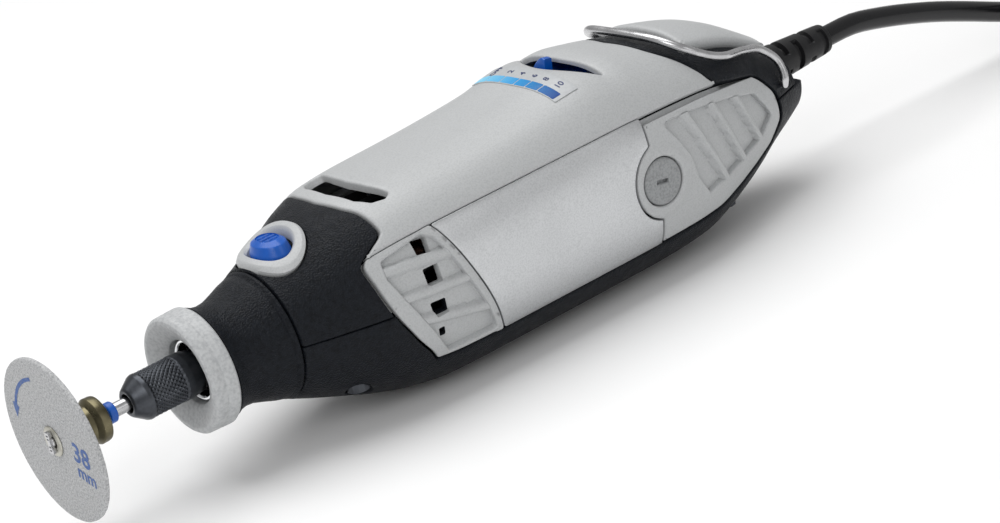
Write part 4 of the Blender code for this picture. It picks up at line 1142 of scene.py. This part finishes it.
def build_label():
    low, high = 58.5, 121.5
    outline = [(LABEL_START, a) for a in spaced(high, low, 30)]
    outline += [(LABEL_END, a) for a in spaced(low, high, 30)]
    label = Sheet(on_body, -0.05, raised(LABEL_LIFT), spacing=1.2)
    piece = label.build(plan_of(outline), corner=1.6, edge=0.08).piece("scale_plate", PAPER, "housing")
    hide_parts("dial_scale")
    cells = ((119.5, 110.0), (109.4, 99.4), (98.8, 88.8), (88.2, 80.2), (79.6, 71.6), (71.0, 60.5))
    for k, (start, end) in enumerate(cells):
        outline = [(134.6, a) for a in spaced(start, end, 6)] + [(137.0, a) for a in spaced(end, start, 6)]
        band = Sheet(on_body, -0.2, raised(0.27), spacing=1.0)
        band.build(plan_of(outline), corner=0.3, edge=0.03)
        piece = band.piece(f"scale_band_{k}", BAND, "housing")

    def on_label(x, y, height):
        return tuple(on_body(plan_from_above([(x, y)]), LABEL_LIFT + height)[0])

    for text, y in (("OFF", 10.6), ("2", 4.9), ("4", 0.5), ("6", -3.9), ("8", -8.0), ("10", -12.4)):
        lettering("scale_" + text.lower(), text, 2.3, (138.9, y), on_label, INK, "housing")


def build_lock_button():
    profile = [(13.2, 3.0), (13.2, 6.0), (17.2, 5.8), (19.4, 4.9), (20.35, 3.2), (20.4, 0.0), (11.8, 0.0),
               (11.8, 3.0)]

    def emboss(grid):
        """A raised rim round a shallow dish, with three low bars across it."""
        d, r, turn = grid.T
        top, y = d > 19.6, r * np.sin(turn)
        dish = np.where(top & (r < 3.3), -0.35, 0.0)
        bars = np.where(top & (r < 2.7) & (np.abs((np.abs(y) + 0.8) % 1.6 - 0.8) < 0.33), 0.3, 0.0)
        return np.stack([d + dish + bars, r, turn], 1)

    cap = turned("lock_cap", profile, BLUE, "lock", fillet=0.5, steps=96, axis="Z",
                 centre=(LOCK_STATION, 0, 0), scale_x=LOCK_OVAL, reshape=emboss, fine=0.22, sharp=30)
    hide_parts("lock_button")


# ---------------------------------------------------------------- nose, nut, arbor and disc

def build_nose():
    cap = [(54.6, 12.1), (54.6, 15.3), (53.9, 15.1), (53.4, 14.6), (52.9, 14.7), (51, 14.2), (48, 13.1),
           (45.5, 12.3), (43, 12.1), (41, 12.5), (39.2, 13.4), (39.2, 9), (41.6, 9), (41.6, 10.4),
           (52, 10.4)]
    piece = turned("nose_cone", cap, SOFT_BLACK, "nose", fillet=0.35, steps=128)
    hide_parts("nose_cap")
    ring = [(38.9, 7.6), (38.9, 13.5), (38.3, 13.9), (36.2, 13.85), (35.6, 13.6), (35.0, 13.8), (33, 13.7),
            (32.3, 13.1), (32.3, 12.2), (32.6, 11.6), (34.3, 8.3), (35.0, 7.6)]
    piece = turned("nose_face_ring", ring, RING_GREY, "nose", fillet=0.4, steps=128)
    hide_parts("nose_ring")
    bush = [(40.8, 6.4), (40.8, 7.3), (36.2, 7.3), (35.9, 7.1), (35.9, 6.6), (36.3, 6.3)]
    piece = turned("nose_liner_ring", bush, CHROME, "nose", fillet=0.25, steps=96)
    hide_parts("nose_bush")


NUT_RADIUS = 5.35
KNURL_START, KNURL_END = 22.6, 31.4
KNURLS = 28                 # grooves of each slant round the nut


def build_nut():
    profile = [(36, 4.25), (36, 4.9), (33, NUT_RADIUS), (22.2, NUT_RADIUS), (21.6, 5.15), (18.9, 3.3),
               (18.6, 2.9), (18.6, 2.2), (20.8, 2.2), (22.6, 3.2), (25.8, 4.25)]

    def knurl(grid):
        d, r, turn = grid.T
        pitch = 2 * math.pi * NUT_RADIUS / KNURLS
        around = turn * KNURLS / (2 * math.pi)
        one = np.abs(((around + d / pitch) % 1) * 2 - 1)
        other = np.abs(((around - d / pitch) % 1) * 2 - 1)
        zone = (r > 4.9) * np.clip((d - KNURL_START) / 0.3, 0, 1) * np.clip((KNURL_END - d) / 0.3, 0, 1)
        return np.stack([d, r - 0.5 * zone * np.maximum(one, other), turn], 1)

    nut = turned("knurled_nut", profile, DARK_NUT, "collet_nut", fillet=0.3, steps=KNURLS * 8, fine=0.2,
                 reshape=knurl, sharp=60)
    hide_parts("collet_nut")


def build_shank():
    shank = [(38, 0), (38, 1.5), (37.6, 1.6), (15.2, 1.6), (12.8, 1.6), (12.6, 1.1), (-0.6, 1.1),
             (-0.8, 0.9), (-0.8, 0)]
    rod = turned("arbor_rod", shank, STEEL, "arbor", fillet=0.1, steps=48)
    right = [(-2.5, -0.75), (-1.6, -0.95), (-0.5, -0.5), (0.5, -0.5), (1.6, -0.95), (2.5, -0.75)]
    outline = right + [(z, -y) for z, y in reversed(right)]
    teeth = [([(z - 0.16, -0.45), (z + 0.16, -0.45), (z + 0.16, 0.45), (z - 0.16, 0.45)], -0.25, ())
             for z in (-1.7, -0.9, 0.9, 1.7)]
    block = Sheet(on_plane(lambda z, y, height: (-0.5 - height, -y, z)), 0.0, raised(0.8), spacing=0.5)
    block.build(outline, corner=0.15, edge=0.08, recesses=teeth)
    tip = block.piece("arbor_key", STEEL, "arbor")
    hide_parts("arbor_shank")


def build_hub():
    collar = [(13.1, 1.75), (13.1, 2.2), (13.4, 2.4), (14.7, 2.4), (15, 2.2), (15, 1.75)]
    piece = turned("arbor_sleeve", collar, BLUE, "arbor", fillet=0.15, steps=48)
    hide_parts("arbor_collar")
    hub = [(12.5, 2.8), (12.5, 3.4), (11.6, 5.1), (11.0, 5.25), (9.6, 5.3), (8.9, 4.7), (8.5, 4.1),
           (6.8, 3.75), (5, 3.8), (4.2, 4.4), (3.4, 4.8), (1.7, 4.8), (1.7, 1.9), (8, 1.9), (8, 2.8)]
    piece = turned("quick_hub", hub, BRASS, "arbor_hub", fillet=0.25, steps=96)
    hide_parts("arbor_hub")


DISC_RADIUS = 19.0


def build_disc():
    def chipped(grid):
        d, r, turn = grid.T
        wear = 0.08 * np.sin(turn * 37 + 1.3) + 0.06 * np.sin(turn * 61) + 0.05 * np.sin(turn * 17 + 0.4)
        return np.stack([d, np.where(r > 18, r - 0.05 + wear * 0.25, r), turn], 1)

    profile = [(0, 3.05), (0, 18.8), (0.2, DISC_RADIUS), (0.9, DISC_RADIUS), (1.1, 18.8), (1.1, 3.05)]
    disc = turned("abrasive_wheel", profile, ABRASIVE, "disc", fillet=0.1, steps=240, reshape=chipped)
    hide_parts("cutting_disc")
    eyelet = [(1.35, 1.65), (1.35, 2.7), (-0.05, 2.7), (-0.05, 3.3), (-0.1, 3.5), (-0.25, 3.5), (-0.35, 3.3),
              (-0.35, 1.65)]
    piece = turned("disc_rivet", eyelet, EYELET, "disc", fillet=0.1, steps=72)
    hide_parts("disc_eyelet")


def on_disc(x, y, height):
    """A world point over the disc's front face, x to the left side and y upwards."""
    return tuple(at(-0.02 - height, -x, y))


def build_disc_print():
    lettering("disc_size", "38", 6.6, (10.6, -1.4), on_disc, PRINT_BLUE, "disc", 0.04, -12)
    lettering("disc_unit", "mm", 4.6, (10.6, -6.0), on_disc, PRINT_BLUE, "disc", 0.04, -12)
    points, steps, radius = [], 40, 14.2
    head = steps - 9        # the step at which the arrow's head begins
    for k in range(steps):
        turn = math.radians(100 + 70 * k / (steps - 1))
        half = 0.45 if k < head else 1.3 * (1 - max(0.0, (k - head) / 8))
        for reach in (radius - half, radius + half):
            points.append(on_disc(reach * math.cos(turn), reach * math.sin(turn), 0.03))
    faces = [(2 * k, 2 * k + 1, 2 * k + 3, 2 * k + 2) for k in range(steps - 1)]
    arrow = mesh_piece("disc_arrow", points, faces, PRINT_BLUE, "disc")


# ---------------------------------------------------------------- tail, bail and brush caps

def build_strain_relief():
    profile = [(200.2, 0), (200.2, 6.4), (202.6, 6.4), (202.9, 4.6), (206.0, 4.6), (RELIEF_END - 1.6, 3.4),
               (RELIEF_END - 1.4, 3.75), (RELIEF_END, 3.75), (RELIEF_END, 0)]

    def ribbed(grid):
        """Rings joined by bridges that alternate from side to side."""
        d, r, turn = grid.T
        count, pitch, start = 5, 4.45, 206.0
        index = np.floor((d - start) / pitch)
        phase = (d - start) / pitch - index
        zone = (index >= 0) & (index < count) & (r > 2.9)
        outer = 5.2 - 1.4 * (d - start) / (RELIEF_END - start)
        half_turn = np.abs(np.cos(turn + np.where(index % 2 == 0, 0, math.pi / 2)))
        groove = np.clip((phase - 0.58) / 0.06, 0, 1) * np.clip((1.0 - phase) / 0.06, 0, 1)
        cut = groove * np.clip((half_turn - 0.42) / 0.08, 0, 1)
        radius = outer - (outer - 3.15) * cut
        return np.stack([d, np.where(zone, radius, r), turn], 1)

    relief = turned("cord_boot", profile, BLACK, "housing", fillet=0.25, steps=120, fine=0.25,
                    centre=(0, 0, RELIEF_HEIGHT), reshape=ribbed, sharp=45)
    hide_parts("strain_relief")


def build_bail():
    half = [(168.6, 6.0, 27.6), (169.4, 12.5, 26.9), (172.4, 17.2, 24.3), (178.0, 18.4, 20.6),
            (184.0, 17.4, 18.0), (192.0, 14.0, 15.8), (199.0, 11.6, 13.2), (203.0, 12.2, 9.6),
            (203.6, 13.6, 6.2), (BAIL_PIVOT[0], 14.2, BAIL_PIVOT[1])]
    left = [at(x, -y, z) for x, y, z in half]
    right = [at(x, y, z) for x, y, z in half]
    path = curve_through(left[::-1] + right, 0.8)
    ends = [at(BAIL_PIVOT[0], y, BAIL_PIVOT[1]) for y in (-10.8, 10.8)]
    bail = swept("hanger_wire", [ends[0]] + path + [ends[1]], 1.0, STEEL, "bail", sides=20)
    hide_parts("hanger_bail")


def build_brush_cap(hand, mirror):
    face = float(HALF_WIDTH(BRUSH_STATION)) - 0.3
    radius, depth = 5.6, 3.0

    turn = math.radians(80)
    cosine, sine = math.cos(turn), math.sin(turn)
    slot = [(BRUSH_STATION + x * cosine - z * sine, x * sine + z * cosine)
            for x, z in ((-0.4, -1.7), (0.4, -1.7), (0.4, 1.7), (-0.4, 1.7))]
    cap = Sheet(on_plane(lambda x, z, height: (x, -(face + height), z)), depth, spacing=0.8)
    cap.build(oval((BRUSH_STATION, 0.05), radius, radius, 72), corner=0.0, edge=0.5,
              recesses=[(slot, raised(-1.2), ())])
    piece = cap.piece(hand + "_brush_plug", CAP_GREY, "housing", mirror)
    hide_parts(hand + "_brush_cap")


# ---------------------------------------------------------------- what stays from the CAD

def dress_inner_pieces():
    dress(STEEL, "output_spindle", "front_bearing", "collet", "armature_shaft", "rear_bearing", "lock_pin",
          "lock_spring", "left_brush_spring", "right_brush_spring")
    dress(DARK_NUT, "housing_screw_1", "housing_screw_2", "housing_screw_3", "housing_screw_4")
    dress(CORE_STEEL, "armature_core", "stator_core")
    dress(COPPER, "armature_windings", "upper_field_coil", "lower_field_coil", "commutator")
    dress(BRASS, "left_brush_holder", "right_brush_holder")
    dress(CARBON, "left_carbon_brush", "right_carbon_brush")
    dress(BLACK, "front_boss", "drive_coupling", "cooling_fan", "switch_module", "cord_clamp")
    dress(BOARD, "speed_control_board")


# ---------------------------------------------------------------- stage

def build_camera():
    data = bpy.data.cameras.new("camera")
    data.lens = 108
    data.sensor_width = 36
    data.dof.use_dof = False
    camera = bpy.data.objects.new("camera", data)
    bpy.context.scene.collection.objects.link(camera)
    right, up = Vector((0.759893, -0.610846, -0.222330)), Vector((0.394176, 0.161029, 0.904818))
    back = right.cross(up)
    turn = Matrix((right, up, back)).transposed().to_4x4()
    camera.matrix_world = Matrix.Translation((-0.3535, -0.53905, 0.26747)) @ turn
    bpy.context.scene.camera = camera


def area_light(name, place, target, size, power):
    data = bpy.data.lights.new(name, "AREA")
    data.shape = "RECTANGLE"
    data.size = data.size_y = size
    data.energy = power
    lamp = bpy.data.objects.new(name, data)
    lamp.location = place
    lamp.rotation_euler = (Vector(target) - Vector(place)).to_track_quat("-Z", "Y").to_euler()
    bpy.context.scene.collection.objects.link(lamp)


def build_floor():
    data = bpy.data.meshes.new("floor")
    reach, level = 3.0, -0.0002
    data.from_pydata([(-reach, -reach, level), (reach, -reach, level), (reach, reach, level),
                      (-reach, reach, level)], [], [(0, 1, 2, 3)])
    data.materials.append(material("pale floor", (0.93, 0.93, 0.93), 0.7, grains=(("noise", 60, 0.03, 0.2),),
                                   rough=(40, 0.65, 0.75)))
    floor = bpy.data.objects.new("floor", data)
    bpy.context.scene.collection.objects.link(floor)


def build_light():
    world = bpy.data.worlds.new("studio")
    world.use_nodes = True
    background = world.node_tree.nodes["Background"]
    background.inputs["Color"].default_value = (1, 1, 1, 1)
    background.inputs["Strength"].default_value = 0.44
    bpy.context.scene.world = world
    area_light("overhead", (0.0, 0.25, 0.9), (0.0, 0.0, 0.03), 0.9, 7.0)
    area_light("left_key", (-0.75, -0.45, 0.6), (-0.05, 0.0, 0.03), 0.5, 2.2)
    area_light("low_front", (0.25, -0.9, 0.35), (0.0, 0.0, 0.03), 0.5, 0.6)
    bpy.context.scene.view_settings.view_transform = "Standard"


build_camera()
build_floor()
build_light()
cord, cord_line = build_cord()
cord_pieces = build_plug() + [build_tie()]
tuple(cord_line[0])
build_upper_shell()
build_lower_shell()
build_front_grip()
build_button_surround()
for hand, mirror in (("left", False), ("right", True)):
    build_grille(hand, mirror)
    build_side_plate(hand, mirror)
    build_rear_grip(hand, mirror)
    build_brush_cap(hand, mirror)
build_rear_collar()
build_tail_cap()
build_dial_wheel(dial_matrix())
build_dial_tab(dial_matrix())
build_label()
build_lock_button()
build_nose()
build_nut()
build_shank()
build_hub()
build_disc()
build_disc_print()
build_strain_relief()
build_bail()
dress_inner_pieces()
